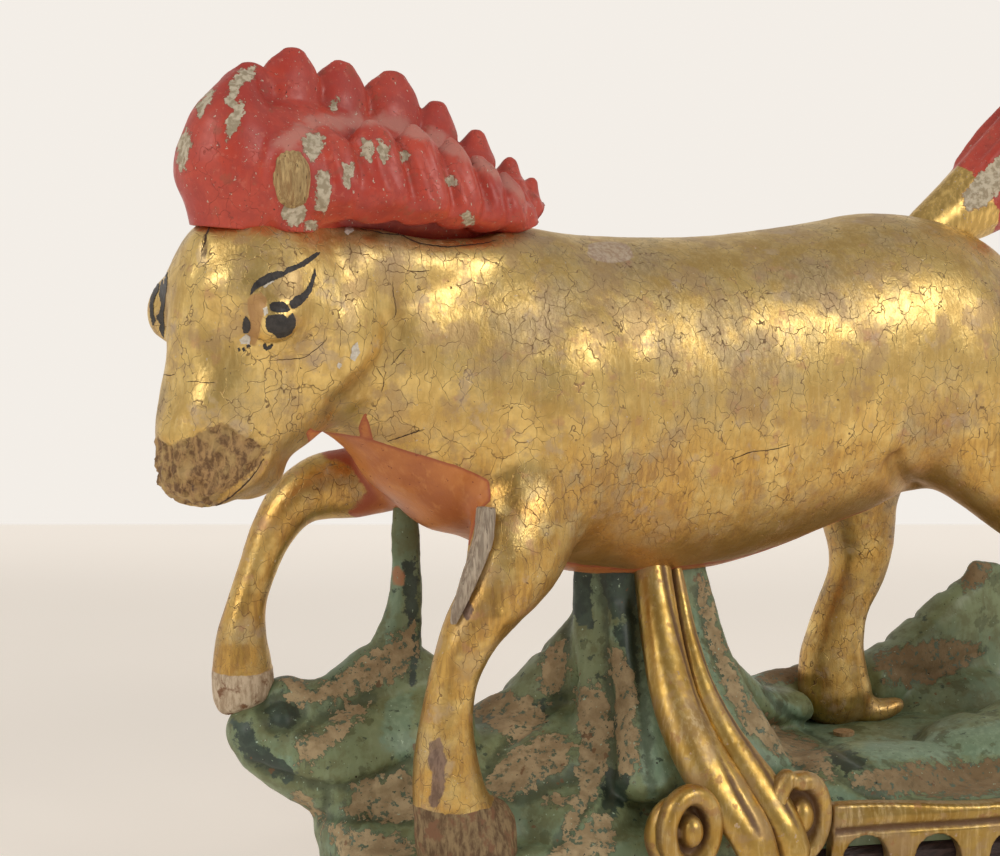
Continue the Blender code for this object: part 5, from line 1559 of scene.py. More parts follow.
# ---- finishes ----
def horse_finish():
    g = Graph("worn_water_gilding")
    L, streak, cloud, cloud2 = gilding(g, 0.85)
    toned = g.ramp(g.noise(0.13, 4.0, 0.62, (3.0, 14.0, 6.0)), 0.36, 0.60)
    L.over(both(g, both(g, g.attr("low"), toned), 0.75), g.mix(g.ramp(streak, 0.42, 0.62), (0.62, 0.36, 0.09), (0.40, 0.205, 0.050)), 0.95, 0.33)
    warp = g.noise_vector(0.22, 1.3)
    net = g.cracks((0.26, 0.26, 0.17), 0.025, warp)
    where = g.ramp(cloud2, 0.38, 0.54)
    L.over(both(g, both(g, net, where), 0.85), (0.12, 0.060, 0.022), 0.2, 0.6, 0.15)
    tight = g.cracks((0.95, 0.95, 0.55), 0.03, warp, offset=(5.0, 2.0, 8.0))
    L.over(both(g, both(g, tight, g.ramp(cloud, 0.42, 0.58)), 0.50), (0.22, 0.12, 0.05), 0.4, 0.55, 0.36)
    # joins of the leaf, 22 mm apart, and rubbed red clay
    L.over(both(g, g.spots(0.16, 0.60, 0.10, 4.0, (9.0, 1.0, 4.0)), 0.42), (0.46, 0.22, 0.13), 0.35, 0.5)
    L.over(both(g, g.spots(0.10, 0.60, 0.08, 5.0, (1.0, 22.0, 7.0)), 0.45), (0.50, 0.38, 0.27), 0.25, 0.55)
    L.over(both(g, g.spots(1.1, 0.69, 0.03, 3.0, (2.0, 9.0, 5.0)), 0.85), (0.60, 0.50, 0.36), 0.0, 0.75, 0.30)
    L.over(both(g, g.spots(0.9, 0.70, 0.03, 3.0, (12.0, 3.0, 2.0)), 0.9), (0.07, 0.035, 0.015), 0.0, 0.6, 0.25)
    # painted shade: darker gold along the neck groove and the flank fold
    L.over(both(g, g.edge("fold_shade", 0.5, 0.4, 1.4), 0.45), (0.20, 0.11, 0.03), 0.6, 0.5)
    # painted shade: darker, warmer gold where the trunk faces down
    L.over(both(g, g.attr("under"), 0.72), (0.52, 0.26, 0.075), 0.75, 0.42)
    # painted belly and breast
    rim = g.edge("bole", 0.30, 0.30, 0.10)
    deep = g.edge("bole", 0.30, 0.30, 0.5, -0.5)
    orange = g.mix(g.ramp(g.noise(0.09, 4.0), 0.35, 0.65), (0.58, 0.205, 0.052), (0.45, 0.135, 0.036))
    orange = g.mix(both(g, g.ramp(g.noise((0.5, 0.5, 0.12), 4.0), 0.52, 0.75), 0.5), orange, (0.68, 0.30, 0.09))
    L.over(rim, (0.37, 0.085, 0.034), 0.0, 0.50, 0.42)
    L.over(deep, orange, 0.0, 0.40, 0.42)
    L.over(both(g, rim, g.spots(0.6, 0.66, 0.04, 3.0, (4.0, 4.0, 4.0))), (0.30, 0.07, 0.03), 0.0, 0.6, 0.3)
    # muzzle worn through to the fibres
    worn = g.edge("muzzle", 1.8, 0.42, 0.30)
    fib = g.noise((0.62, 0.62, 0.26), 5.0, 0.72, warp=g.noise_vector(0.16, 2.4))
    flesh = g.mix(g.ramp(fib, 0.40, 0.60), (0.115, 0.050, 0.017), (0.42, 0.250, 0.100))
    flesh = g.mix(both(g, g.ramp(g.noise(0.28, 4.0, 0.6, (7.0, 7.0, 1.0)), 0.48, 0.62), 0.60), flesh, (0.50, 0.34, 0.13))
    L.over(both(g, worn, 0.93), flesh, 0.06, 0.58, g.ramp(fib, 0.3, 0.7, 0.05, 0.75))
    # hooves: bare ground, stained, the near-side ones also darker with painted shade
    hoof = g.edge("hoof", 0.45, 0.45, 0.13)
    grain = g.noise((0.8, 0.8, 0.24), 4.0, 0.68, warp=g.noise_vector(0.1, 1.2))
    bone = g.mix(g.ramp(grain, 0.38, 0.62), (0.36, 0.26, 0.165), (0.58, 0.465, 0.33))
    # near-side hooves: browner stain and painted shade
    bone = g.mix(both(g, g.attr("brown_and_shaded"), 1.0), bone, g.mix(g.ramp(grain, 0.38, 0.62), (0.11, 0.060, 0.026), (0.27, 0.185, 0.090)))
    bone = g.mix(g.ramp(g.noise(0.30, 4.0, 0.6, (3.0, 8.0, 2.0)), 0.53, 0.64), bone, (0.20, 0.095, 0.045))
    L.over(hoof, bone, 0.0, 0.72, g.ramp(grain, 0.3, 0.7, 0.3, 0.7))
    L.over(both(g, g.edge("withers", 0.9, 0.30, 0.25), 0.8), g.mix(g.ramp(fib, 0.4, 0.6), (0.36, 0.24, 0.18), (0.54, 0.44, 0.34)), 0.05, 0.65, 0.2)
    L.over(both(g, g.edge("socket", 0.7, 0.4, 0.3), 0.8), (0.40, 0.20, 0.07), 0.1, 0.5, 0.4)
    L.over(both(g, g.edge("stain", 1.2, 0.35, 0.3), 0.85), g.mix(g.ramp(grain, 0.4, 0.6), (0.10, 0.055, 0.05), (0.22, 0.14, 0.11)), 0.05, 0.6, 0.2)
    # painted shade: near-black in the nostril pits
    L.over(both(g, g.edge("nostril", 0.5, 0.8, 0.35), 0.9), (0.045, 0.016, 0.016), 0.0, 0.5)
    # painted shade: near-black in the carved mouth, forehead and nostril lines
    L.over(both(g, g.edge("groove", 0.3, 0.8, 0.25), 0.85), (0.07, 0.030, 0.012), 0.0, 0.6)
    return L.done(0.00020, g.noise((0.75, 0.75, 0.45), 4.0, 0.70, (2.0, 6.0, 4.0)), 0.00014)


def paint_finish(name, chip_name, valley=True, root=None):
    """Red paint on gesso: chips, dust in the hollows, and gilding where the paint begins."""
    g = Graph(name)
    cloud = g.noise(0.055, 4.0, 0.6)
    mottle = g.noise(0.32, 4.0, 0.65, (3.0, 5.0, 1.0))
    brush = g.noise((0.8, 0.8, 0.16), 4.0, 0.6)
    red = g.mix(g.ramp(cloud, 0.36, 0.64), (0.40, 0.036, 0.024), (0.52, 0.064, 0.036))
    red = g.mix(both(g, g.ramp(mottle, 0.42, 0.66), 0.45), red, (0.32, 0.042, 0.032))
    red = g.mix(both(g, g.ramp(brush, 0.55, 0.75), 0.28), red, (0.60, 0.13, 0.07))
    L = Layers(g, red, 0.0, g.ramp(mottle, 0.35, 0.65, 0.36, 0.52), 0.6)
    L.over(both(g, g.spots(0.20, 0.60, 0.08, 4.0, (8.0, 1.0, 3.0)), 0.45), (0.28, 0.085, 0.045), 0.0, 0.55, 0.55)
    L.over(both(g, g.spots(0.55, 0.61, 0.08, 3.0, (1.0, 3.0, 3.0)), 0.30), (0.62, 0.19, 0.13), 0.0, 0.6)
    if valley:
        v = both(g, g.ramp(g.math("ADD", g.attr("valley"), g.math("MULTIPLY", g.math("SUBTRACT", mottle, 0.5), 6.0)), -0.4, 2.8), 0.62)
        L.over(v, (0.56, 0.27, 0.22), 0.0, 0.75)
    white = g.mix(g.ramp(g.noise(0.7, 4.0), 0.4, 0.6), (0.34, 0.28, 0.19), (0.56, 0.49, 0.37))
    if root:
        # gilt root, then paint, along the length of the piece
        along = g.math("ADD", g.attr("along"), g.math("MULTIPLY", g.math("SUBTRACT", g.noise(0.3, 4.0), 0.5), 5.0))
        gold = g.ramp(along, root, root + 0.8, 1.0, 0.0)
        gilt = g.mix(g.ramp(brush, 0.42, 0.66), (0.56, 0.37, 0.12), (0.84, 0.58, 0.20))
        L.over(gold, gilt, 0.95, 0.36, 0.62)
    chip = g.edge(chip_name, 2.0, 0.62, 0.09, 0.20)
    rim = g.edge(chip_name, 2.0, 0.62, 0.2, 0.45)
    L.over(both(g, rim, 0.55), (0.25, 0.06, 0.035), 0.0, 0.6, 0.5)
    L.over(chip, white, 0.0, 0.85, g.ramp(g.noise(0.8, 4.0), 0.3, 0.7, 0.05, 0.35))
    speck = g.ramp(g.noise((1.3, 1.3, 0.85), 3.0, 0.6, (6.0, 2.0, 8.0)), 0.665, 0.69)
    L.over(both(g, speck, 0.9), (0.64, 0.52, 0.42), 0.0, 0.8, 0.2)
    L.over(g.spots(1.0, 0.705, 0.02, 3.0, (16.0, 12.0, 3.0)), (0.09, 0.03, 0.02), 0.0, 0.6, 0.3)
    lines = g.cracks((0.20, 0.20, 0.13), 0.010, g.noise_vector(0.2, 1.6))
    L.over(both(g, both(g, lines, g.ramp(cloud, 0.45, 0.6)), 0.6), (0.13, 0.03, 0.02), 0.0, 0.6, 0.1)
    return L.done(0.00020, brush, 0.00003)


def wood_finish(name, light, dark, s=(2.2, 2.2, 0.16), hair=0.6, rough=0.72, relief=0.0002):
    g = Graph(name)
    fibre = g.noise(s, 4.0, 0.65, warp=g.noise_vector(0.10, 1.5))
    band = g.noise(tuple(v * 0.28 for v in s), 3.0, 0.5, (4.0, 1.0, 2.0))
    col = g.mix(g.ramp(fibre, 0.36, 0.64), dark, light)
    col = g.mix(both(g, g.ramp(band, 0.42, 0.66), 0.5), col, tuple(v * 0.62 for v in light))
    L = Layers(g, col, 0.0, rough, g.ramp(fibre, 0.3, 0.7, 0.2, 0.8))
    slits = g.ramp(g.noise(tuple(v * 1.5 for v in s), 3.0, 0.6, (8.0, 8.0, 3.0)), 0.64, 0.68)
    L.over(both(g, slits, hair), tuple(v * 0.18 for v in dark), 0.0, 0.8, 0.0)
    return L.done(relief, fibre, 0.00005)


def rock_finish():
    g = Graph("verdigris_rockwork")
    cloud = g.noise(0.040, 4.0, 0.6)
    mottle = g.noise(0.16, 4.0, 0.65, (5.0, 1.0, 7.0))
    brush = g.noise((0.6, 0.6, 0.14), 4.0, 0.6, warp=g.noise_vector(0.07, 2.5))
    green = g.mix(g.ramp(cloud, 0.38, 0.62), (0.205, 0.250, 0.125), (0.150, 0.210, 0.120))
    green = g.mix(both(g, g.ramp(mottle, 0.42, 0.62), 0.65), green, (0.130, 0.132, 0.052))
    green = g.mix(both(g, g.ramp(brush, 0.50, 0.72), 0.45), green, (0.27, 0.33, 0.19))
    L = Layers(g, green, 0.0, g.ramp(mottle, 0.35, 0.65, 0.42, 0.60), 0.6)
    teal = g.edge("teal", 3.2, 0.30, 0.8)
    L.over(both(g, teal, 0.62), g.mix(g.ramp(brush, 0.42, 0.62), (0.18, 0.29, 0.20), (0.25, 0.37, 0.26)), 0.0, 0.46)
    L.over(both(g, g.spots(0.14, 0.585, 0.05, 5.0, (3.0, 3.0, 9.0)), 0.65), (0.085, 0.098, 0.040), 0.0, 0.55, 0.55)
    L.over(both(g, g.spots(0.30, 0.63, 0.05, 5.0, (9.0, 4.0, 1.0)), 0.8), (0.030, 0.050, 0.034), 0.0, 0.5, 0.5)
    # painted shade and darker paint: the dark patches of the rock
    dark = g.edge("dark", 3.4, 0.34, 0.35)
    L.over(both(g, dark, 0.92), g.mix(g.ramp(mottle, 0.4, 0.6), (0.018, 0.032, 0.026), (0.045, 0.075, 0.055)), 0.0, 0.45, 0.5)
    # painted shade: darker green in the carved folds, also on the unseen sides
    L.over(both(g, g.edge("groove", 3.0, 0.26, 0.9, -0.2), 0.60), (0.038, 0.050, 0.026), 0.0, 0.6, 0.4)
    # ground laid bare: where it was seen, and in ragged patches on the other sides
    tan_c = g.mix(g.ramp(g.noise(0.22, 4.0, 0.6, (2.0, 2.0, 6.0)), 0.38, 0.62), (0.30, 0.218, 0.115), (0.425, 0.325, 0.185))
    tan_c = g.mix(both(g, g.ramp(g.noise(0.5, 4.0, 0.6), 0.56, 0.72), 0.7), tan_c, (0.135, 0.115, 0.062))
    tan_c = g.mix(g.attr("warm"), tan_c, (0.17, 0.105, 0.045))
    hidden = g.math("SUBTRACT", 1.0, g.attr("seen"))
    wild = both(g, g.ramp(g.noise((0.055, 0.055, 0.032), 5.0, 0.62, (21.0, 3.0, 5.0)), 0.535, 0.55), hidden)
    tan = either(g, g.edge("tan", 5.0, 0.40, 0.16), wild)
    rim = g.edge("tan", 5.0, 0.40, 0.3, 0.55)
    L.over(both(g, rim, 0.42), (0.050, 0.075, 0.050), 0.0, 0.5, 0.62)
    L.over(tan, tan_c, 0.0, 0.82, g.ramp(g.noise(0.6, 4.0), 0.3, 0.7, 0.05, 0.35))
    left_over = g.ramp(g.noise(0.42, 5.0, 0.66, (13.0, 2.0, 2.0)), 0.575, 0.60)
    L.over(both(g, both(g, tan, left_over), 0.9), (0.085, 0.135, 0.090), 0.0, 0.5, 0.5)
    L.over(both(g, g.edge("orange", 0.7, 0.5, 0.3), 0.75), (0.50, 0.20, 0.09), 0.0, 0.6)
    L.over(both(g, g.spots(0.22, 0.675, 0.04, 3.0, (2.0, 14.0, 6.0)), 0.75), (0.17, 0.075, 0.030), 0.0, 0.6)
    L.over(both(g, g.spots(0.8, 0.69, 0.02, 3.0, (2.0, 4.0, 6.0)), 0.8), (0.40, 0.52, 0.38), 0.0, 0.6)
    L.over(g.spots(0.9, 0.70, 0.02, 3.0, (12.0, 4.0, 6.0)), (0.025, 0.022, 0.012), 0.0, 0.6, 0.2)
    return L.done(0.00030, brush, 0.00006)


def carving_finish(name, hollow=False, age=1.0):
    g = Graph(name)
    L, streak, cloud, cloud2 = gilding(g, 0.75, (0.76 * age, 0.51 * age, 0.15 * age), (0.54 * age, 0.33 * age, 0.085 * age), (0.28 * age, 0.165 * age, 0.06 * age))
    red = g.spots(0.24, 0.60, 0.06, 5.0, (4.0, 4.0, 1.0))
    L.over(both(g, red, 0.55), (0.34, 0.15, 0.055), 0.2, 0.5, 0.45)
    L.over(both(g, g.spots(0.5, 0.655, 0.04, 4.0, (14.0, 4.0, 1.0)), 0.8), (0.50, 0.36, 0.24), 0.0, 0.7, 0.3)
    # painted shade: darker gold in the carved hollows
    if hollow:
        L.over(both(g, g.edge("groove", 0.5, 0.5, 0.55), 0.88), (0.105, 0.045, 0.018), 0.1, 0.6, 0.3)
    return L.done(0.00016, streak, 0.00003)


def plain_finish(name, a, b, metal, rough, s=0.5, relief=0.0001):
    g = Graph(name)
    n = g.noise(s, 4.0, 0.6)
    L = Layers(g, g.mix(g.ramp(n, 0.38, 0.62), a, b), metal, g.ramp(n, 0.35, 0.65, rough - 0.08, rough + 0.08), g.ramp(n, 0.3, 0.7))
    L.over(both(g, g.spots(1.6, 0.66, 0.03, 3.0, (3.0, 1.0, 1.0)), 0.6), tuple(v * 0.5 for v in a), metal * 0.5, rough + 0.1, 0.1)
    return L.done(relief)


def dress(obj, material, slot_name, *nodes):
    obj.data.materials.clear()
    obj.data.materials.append(material)
    obj.data.polygons.foreach_set("material_index", np.zeros(len(obj.data.polygons), np.int32))
    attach(obj, "root")
    if nodes:
        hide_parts(*nodes)


gild = horse_finish()
dress(horse, gild, "gilt_body", "horse_body", "foreleg_left", "foreleg_right", "hindleg_left", "hindleg_right")
attribute(ear, "bole", np.full(len(ear.data.vertices), -30.0))
for label in ("hoof", "under", "brown_and_shaded", "low", "muzzle", "withers", "socket", "stain", "nostril", "groove", "fold_shade"):
    attribute(ear, label, np.full(len(ear.data.vertices), -30.0))
dress(ear, gild, "right_ear", "right_ear")
dress(mane, paint_finish("red_mane_paint", "chip"), "red_hair", "mane_crest")
dress(tail, paint_finish("red_tail_paint", "chip", False, 36.0), "red_hair", "tail")
dress(stub, wood_finish("broken_ear_wood", (0.60, 0.42, 0.19), (0.33, 0.19, 0.075), (1.5, 1.5, 0.24), 0.75, 0.75, 0.0004), "bare_wood", "left_ear_stub")
dress(splice, wood_finish("grey_bare_wood", (0.52, 0.43, 0.33), (0.25, 0.19, 0.14), (1.6, 1.6, 0.18), 0.6, 0.8, 0.0003), "bare_wood", "foreleg_left_splice")
dress(rock, rock_finish(), "rockwork", "rock_main", "rock_left_lobe", "rock_pillar", "rock_spire", "rock_crag", "rock_rear_step")
carved = carving_finish("gilt_carving_leaf", True, 0.86)
for obj, node in zip(gilt_carving, ("cascade_left", "cascade_right", "scroll_left", "scroll_right")):
    dress(obj, carved, "gilt_carving", node)
hollowed = carving_finish("gilt_openwork_leaf", True, 0.60)
for obj, node in zip(strips, ("frieze_front", "frieze_end", "frieze_back")):
    dress(obj, hollowed, "gilt_carving", node)

board_wood = wood_finish("dark_stained_board", (0.060, 0.032, 0.030), (0.020, 0.011, 0.012), (0.05, 1.1, 1.1), 0.5, 0.5, 0.0002)
peg_wood = wood_finish("beech_dowel", (0.50, 0.33, 0.17), (0.30, 0.18, 0.08), (1.6, 1.6, 0.2), 0.5, 0.6, 0.0001)
iron = plain_finish("wrought_iron_nail", (0.10, 0.075, 0.06), (0.20, 0.13, 0.09), 0.8, 0.55, 1.6)
for name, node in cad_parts.items():
    material = None
    if name == "plinth_board":
        material = board_wood
    elif name.startswith("nail_"):
        material = iron
    elif "dowel" in name or "pin" in name or "tenon" in name:
        material = peg_wood
    if material:
        for k in range(len(node.material_slots)):
            node.material_slots[k].material = material


# ---- brushwork and cracks, laid on the carving as thin films ----
def film(name, outlines, trees, lift, spacing=1.2, ragged=0.35, reach=4.0):
    """Thin patches of paint inside outlines given in the picture, draped on the carving."""
    rng = np.random.default_rng(len(name) * 7 + len(outlines))
    verts, faces = [], []
    for outline in outlines:
        edge = []
        n = len(outline)
        for k in range(n):
            a, b = np.array(outline[k], float), np.array(outline[(k + 1) % n], float)
            m = max(1, int(np.linalg.norm(b - a) / (spacing * 0.75)))
            for j in range(m):
                q = a + (b - a) * j / m
                edge.append(q + rng.uniform(-ragged, ragged, 2) * (0.3 if j == 0 else 1.0))
        edge = [Vector(q) for q in edge]
        lo = np.min([[q.x, q.y] for q in edge], axis=0)
        hi = np.max([[q.x, q.y] for q in edge], axis=0)
        gx, gy = np.meshgrid(np.arange(lo[0], hi[0], spacing), np.arange(lo[1], hi[1], spacing))
        inner = np.stack([gx.ravel(), gy.ravel()], 1)
        inner += rng.uniform(-0.2, 0.2, inner.shape) * spacing
        d = inside_polygon(inner[:, 0], inner[:, 1], [(q.x, q.y) for q in edge])
        pts = edge + [Vector(q) for q in inner[d > spacing * 0.4]]
        loop = list(range(len(edge)))
        made = mathutils.geometry.delaunay_2d_cdt(pts, [], [loop], 1, 1e-5)
        flat, tris = made[0], made[2]
        base = len(verts)
        found = []
        for q in flat:
            h = hit(trees, q.x, q.y)
            found.append(h)
            verts.append((h[0] + h[1] * lift) if h else Vector((0, 0, 0)))
        for t in tris:
            if any(found[i] is None for i in t):
                continue
            if max((found[t[i]][0] - found[t[i - 1]][0]).length for i in range(len(t))) > reach:
                continue
            faces.append([base + i for i in t])
    bm = bmesh.new()
    made = [bm.verts.new((v + SHIFT) * MM) for v in verts]
    for f in faces:
        try:
            bm.faces.new([made[i] for i in f])
        except ValueError:
            pass
    bmesh.ops.delete(bm, geom=[v for v in bm.verts if not v.link_faces], context="VERTS")
    bm.normal_update()
    flip = [f for f in bm.faces if f.normal.dot(BACK) < 0]
    bmesh.ops.reverse_faces(bm, faces=flip)
    return add(name, bm)


def hairline(points, width):
    """The outline of a tapering crack through points of the picture."""
    line = curve_through([tuple(map(float, q)) for q in points], 5)
    rng = np.random.default_rng(len(points) * 31 + int(points[0][0]))
    left, right = [], []
    for k, (x, y) in enumerate(line):
        a, b = line[max(k - 1, 0)], line[min(k + 1, len(line) - 1)]
        t = Vector((b[0] - a[0], b[1] - a[1])).normalized()
        half = width * 0.5 * math.sin(math.pi * (k + 0.6) / (len(line) + 0.2)) ** 0.5
        wob = rng.uniform(-0.35, 0.35)
        half *= rng.uniform(0.6, 1.3)
        c = Vector((x, y)) + Vector((-t.y, t.x)) * wob
        left.append((c.x - t.y * half, c.y + t.x * half))
        right.append((c.x + t.y * half, c.y - t.x * half))
    return left + right[::-1]


EYE_STROKES = [
    [(249.9, 294.9), (251.2, 288.3), (254.4, 282.6), (260.5, 277.7), (267.9, 273.5), (277.8, 270.8), (283.9, 271.6), (287.6, 267.1), (297.5, 264.2), (307.3, 258.0), (316.0, 252.3), (320.1, 252.3), (318.4, 255.5), (312.3, 260.5), (304.9, 266.1), (297.5, 269.1), (291.3, 272.0), (287.6, 273.5), (283.2, 276.5), (277.8, 278.9), (270.4, 281.9), (265.0, 285.1), (260.5, 286.8), (255.6, 290.0), (252.4, 293.7)],
    [(269.2, 304.8), (272.9, 302.3), (282.7, 301.6), (287.6, 304.8), (290.1, 309.7), (287.6, 312.2), (277.8, 312.7), (270.4, 310.4)],
    [(289.6, 301.6), (295.0, 296.2), (299.9, 294.9), (305.4, 290.0), (309.8, 282.6), (312.3, 275.2), (314.7, 268.1), (316.0, 274.5), (313.5, 283.9), (311.0, 292.5), (306.8, 298.6), (301.2, 304.8), (294.5, 309.0), (291.3, 308.5), (289.6, 304.8)],
    [(266.0, 318.3), (267.9, 315.4), (275.3, 314.6), (282.7, 313.9), (287.6, 318.3), (288.9, 315.9), (292.6, 312.9), (295.5, 318.3), (295.5, 325.7), (291.3, 333.1), (285.2, 336.8), (277.8, 338.0), (272.9, 333.1), (267.9, 331.9), (265.5, 325.7)],
    [(244.0, 318.3), (245.8, 315.9), (248.2, 318.3), (250.7, 323.3), (250.7, 328.2), (248.2, 333.1), (243.8, 333.1), (242.3, 328.2), (242.8, 323.3)],
    [(237.4, 348.4), (239.4, 347.4), (240.8, 350.3), (238.9, 352.1)],
    [(242.1, 347.9), (244.3, 346.9), (245.8, 350.8), (243.3, 352.1)],
    [(245.8, 345.9), (248.7, 343.9), (250.7, 345.9), (247.7, 348.4)],
    [(263.0, 344.2), (265.5, 342.9), (266.9, 346.6), (271.6, 344.2), (273.3, 344.9), (270.4, 349.1), (266.2, 350.8), (263.5, 348.4)],
    [(169.4, 265.4), (167.4, 274.0), (167.4, 283.9), (166.2, 293.7), (165.0, 303.6), (163.7, 315.9), (164.5, 328.2), (164.0, 338.5), (161.5, 334.3), (159.1, 328.2), (160.8, 324.5), (157.1, 319.6), (156.1, 315.9), (159.6, 313.4), (161.3, 303.6), (159.1, 294.9), (160.8, 283.9), (163.3, 275.2), (166.9, 267.9)],
    [(159.6, 281.4), (153.4, 290.8), (150.6, 298.2), (149.7, 306.0), (150.5, 316.3), (153.2, 325.7), (155.6, 320.8), (153.7, 313.4), (153.4, 303.6), (155.6, 296.2), (158.6, 291.2)],
]
GESSO_BITS = [
    [(239.6, 339.3), (245.8, 334.3), (250.7, 336.8), (249.5, 344.2), (240.8, 344.2)],
    [(274.1, 281.4), (265.0, 288.3), (263.0, 286.8), (266.0, 283.4), (270.4, 280.2)],
    [(263.0, 309.0), (266.9, 306.5), (268.4, 313.4), (265.0, 315.9)],
    [(346, 227), (352, 226), (354, 231), (348, 235), (344, 232)],
    [(352, 347), (357, 342), (360, 352), (355, 361), (350, 358)],
    [(338, 362), (342, 364), (340, 369), (337, 367)],
    [(660, 232), (668, 230), (672, 234), (664, 236)],
]
CRACKS = [
    ([(207.6, 224.8), (209.3, 228.5), (206.4, 234.6), (205.1, 240.8), (203.9, 245.7), (201.4, 251.9)], 1.7),
    ([(186.6, 381.8), (196.5, 381.4), (203.9, 382.8), (215.0, 382.3)], 0.9),
    ([(163.3, 374.5), (169.4, 375.4), (174.8, 374.5)], 0.8),
    ([(267.9, 360.7), (282.7, 359.7), (302.4, 357.7), (314.7, 350.3), (324.6, 341.7), (327.0, 336.1)], 0.7),
    ([(387.4, 441.4), (398.5, 437.7), (413.2, 432.8), (424.3, 429.1)], 1.0),
    ([(407.1, 270.6), (418.2, 271.6), (429.3, 270.8)], 0.8),
    ([(392.3, 281.4), (393.5, 293.7), (396.0, 308.5), (394.0, 318.3)], 0.7),
    ([(391.1, 365.1), (397.2, 357.7), (405.9, 347.9)], 0.8),
    ([(376.3, 367.6), (383.7, 379.9), (381.2, 392.2)], 0.7),
    ([(360, 229), (372, 231), (386, 234), (400, 235), (416, 242), (430, 245), (448, 247), (470, 245), (486, 243), (497, 240)], 1.3),
    ([(730, 460), (752, 452), (770, 450), (790, 445)], 0.9),
    ([(212, 507), (226, 500), (240, 489), (254, 474), (264, 458)], 1.3),
]
horse_tree = [tree_of(horse)]
black = plain_finish("black_brush_paint", (0.020, 0.017, 0.016), (0.045, 0.038, 0.034), 0.0, 0.50, 0.9)
ground = plain_finish("gesso_chips", (0.55, 0.49, 0.40), (0.70, 0.65, 0.56), 0.0, 0.85, 0.9)
gap = plain_finish("crack_dirt", (0.035, 0.018, 0.010), (0.080, 0.040, 0.020), 0.0, 0.75, 0.9)
strokes = film("eye_brushwork", EYE_STROKES, horse_tree, 0.10)
flecks = film("gesso_flecks", GESSO_BITS, horse_tree, 0.09, ragged=0.6)
splits = film("hairline_cracks", [hairline(q, w_) for q, w_ in CRACKS], horse_tree, 0.08, spacing=1.0, ragged=0.1)
for obj, material in ((strokes, black), (flecks, ground), (splits, gap)):
    dress(obj, material, "gilt_body")

# ---- floor, air and light ----
bm = bmesh.new()
far, near_, half = 0.591, -2.2, 2.6
away = Vector((-BACK.x, -BACK.y, 0)).normalized()
origin = SHIFT * MM
origin.z = 0.0
corners = [origin + away * a + RIGHT * b for a, b in ((near_, -half), (near_, half), (far, half), (far, -half))]
bm.faces.new([bm.verts.new(c) for c in corners])
bm.normal_update()
if bm.faces[:][0].normal.z < 0:
    bmesh.ops.reverse_faces(bm, faces=bm.faces[:])
floor = add("floor", bm)
g = Graph("glowing_pale_table")
g.put(g.bsdf.inputs["Base Color"], g.mix(g.ramp(g.noise(0.006, 3.0), 0.3, 0.7), (0.86, 0.80, 0.73), (0.88, 0.82, 0.75)))
g.bsdf.inputs["Roughness"].default_value = 0.75
# the table glows, more towards its far edge: painted light that brightens the floor and fades its edge into the wall
g.bsdf.inputs["Emission Color"].default_value = (1.0, 0.93, 0.85, 1.0)
reach = g.t.nodes.new("ShaderNodeVectorMath")
reach.operation = "DOT_PRODUCT"
g.t.links.new(g.p, reach.inputs[0])
reach.inputs[1].default_value = tuple(away)
edge_at = 1000.0 * (origin.dot(away) + far)
g.put(g.bsdf.inputs["Emission Strength"], g.ramp(reach.outputs["Value"], edge_at - 230.0, edge_at, 0.24, 0.38))
floor.data.materials.append(g.m)

world = bpy.data.worlds.new("studio")
bpy.context.scene.world = world
world.use_nodes = True
t = world.node_tree
t.nodes.clear()
w_out = t.nodes.new("ShaderNodeOutputWorld")
w_bg = t.nodes.new("ShaderNodeBackground")
w_tc = t.nodes.new("ShaderNodeTexCoord")


def w_dot(v):
    n = t.nodes.new("ShaderNodeVectorMath")
    n.operation = "DOT_PRODUCT"
    t.links.new(w_tc.outputs["Generated"], n.inputs[0])
    n.inputs[1].default_value = v
    return n.outputs["Value"]


def w_ramp(v, a, b, lo, hi):
    n = t.nodes.new("ShaderNodeMapRange")
    n.interpolation_type = "SMOOTHSTEP"
    t.links.new(v, n.inputs["Value"])
    n.inputs["From Min"].default_value = a
    n.inputs["From Max"].default_value = b
    n.inputs["To Min"].default_value = lo
    n.inputs["To Max"].default_value = hi
    return n.outputs["Result"]


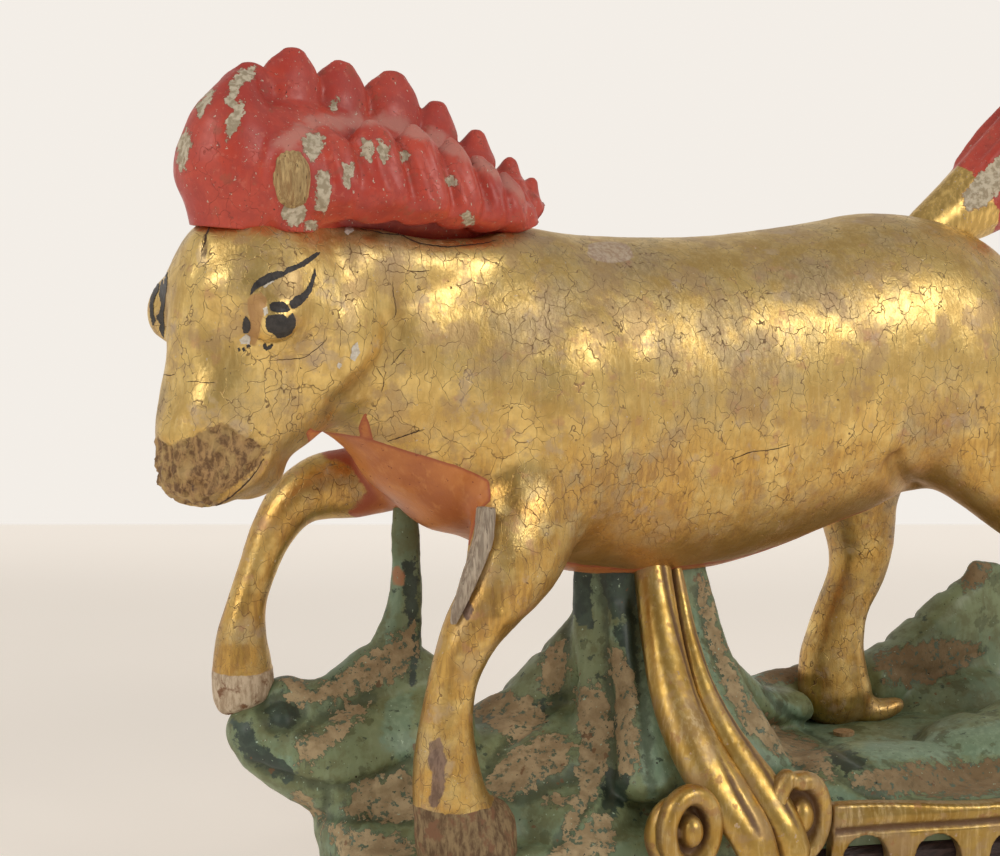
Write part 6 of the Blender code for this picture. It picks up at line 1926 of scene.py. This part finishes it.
behind = w_ramp(w_dot(tuple(away)), -0.75, 0.75, 0.0, 1.0)
side = w_ramp(w_dot(tuple(RIGHT)), -0.8, 0.5, 0.62, 0.22)
high = w_ramp(w_dot((0.0, 0.0, 1.0)), 0.1, 0.95, 1.0, 0.45)
air = t.nodes.new("ShaderNodeMix")
t.links.new(behind, air.inputs[0])
t.links.new(side, air.inputs[2])
air.inputs[3].default_value = 0.95
strength = t.nodes.new("ShaderNodeMath")
strength.operation = "MULTIPLY"
t.links.new(air.outputs[0], strength.inputs[0])
t.links.new(high, strength.inputs[1])
w_bg.inputs["Color"].default_value = (0.90, 0.855, 0.80, 1)
wall = t.nodes.new("ShaderNodeMix")
path = t.nodes.new("ShaderNodeLightPath")
t.links.new(path.outputs["Is Camera Ray"], wall.inputs[0])
t.links.new(strength.outputs[0], wall.inputs[2])
wall.inputs[3].default_value = 1.0
t.links.new(wall.outputs[0], w_bg.inputs["Strength"])
t.links.new(w_bg.outputs[0], w_out.inputs[0])


def lamp(name, azimuth, elevation, distance, size, power, colour=(1, 0.97, 0.92)):
    a, e = math.radians(azimuth), math.radians(elevation)
    d = Vector((math.sin(a) * math.cos(e), -math.cos(a) * math.cos(e), math.sin(e)))
    data = bpy.data.lights.new(name, "AREA")
    data.shape = "RECTANGLE"
    data.size, data.size_y = size
    data.energy = power
    data.color = colour
    obj = bpy.data.objects.new(name, data)
    obj.location = d * distance + Vector((0, 0, 0.12))
    obj.rotation_euler = d.to_track_quat("Z", "Y").to_euler()
    bpy.context.scene.collection.objects.link(obj)
    return obj


lamp("overhead", 20, 82, 1.15, (1.0, 1.0), 1.0)
lamp("window", 26, 29, 1.2, (0.60, 0.36), 5.0)
lamp("left_window", -78, 32, 1.2, (0.35, 0.6), 3.8)

cam = bpy.data.cameras.new("camera")
cam.sensor_fit = "HORIZONTAL"
cam.sensor_width = 36.0
cam.lens = FOCAL / 1000.0 * 36.0
camera = bpy.data.objects.new("camera", cam)
bpy.context.scene.collection.objects.link(camera)
turn = Matrix((RIGHT, CAM_UP, BACK)).transposed().to_4x4()
camera.matrix_world = Matrix.Translation((EYE + SHIFT) * MM) @ turn
bpy.context.scene.camera = camera
bpy.context.scene.view_settings.view_transform = "Standard"
bpy.context.scene.view_settings.look = "None"
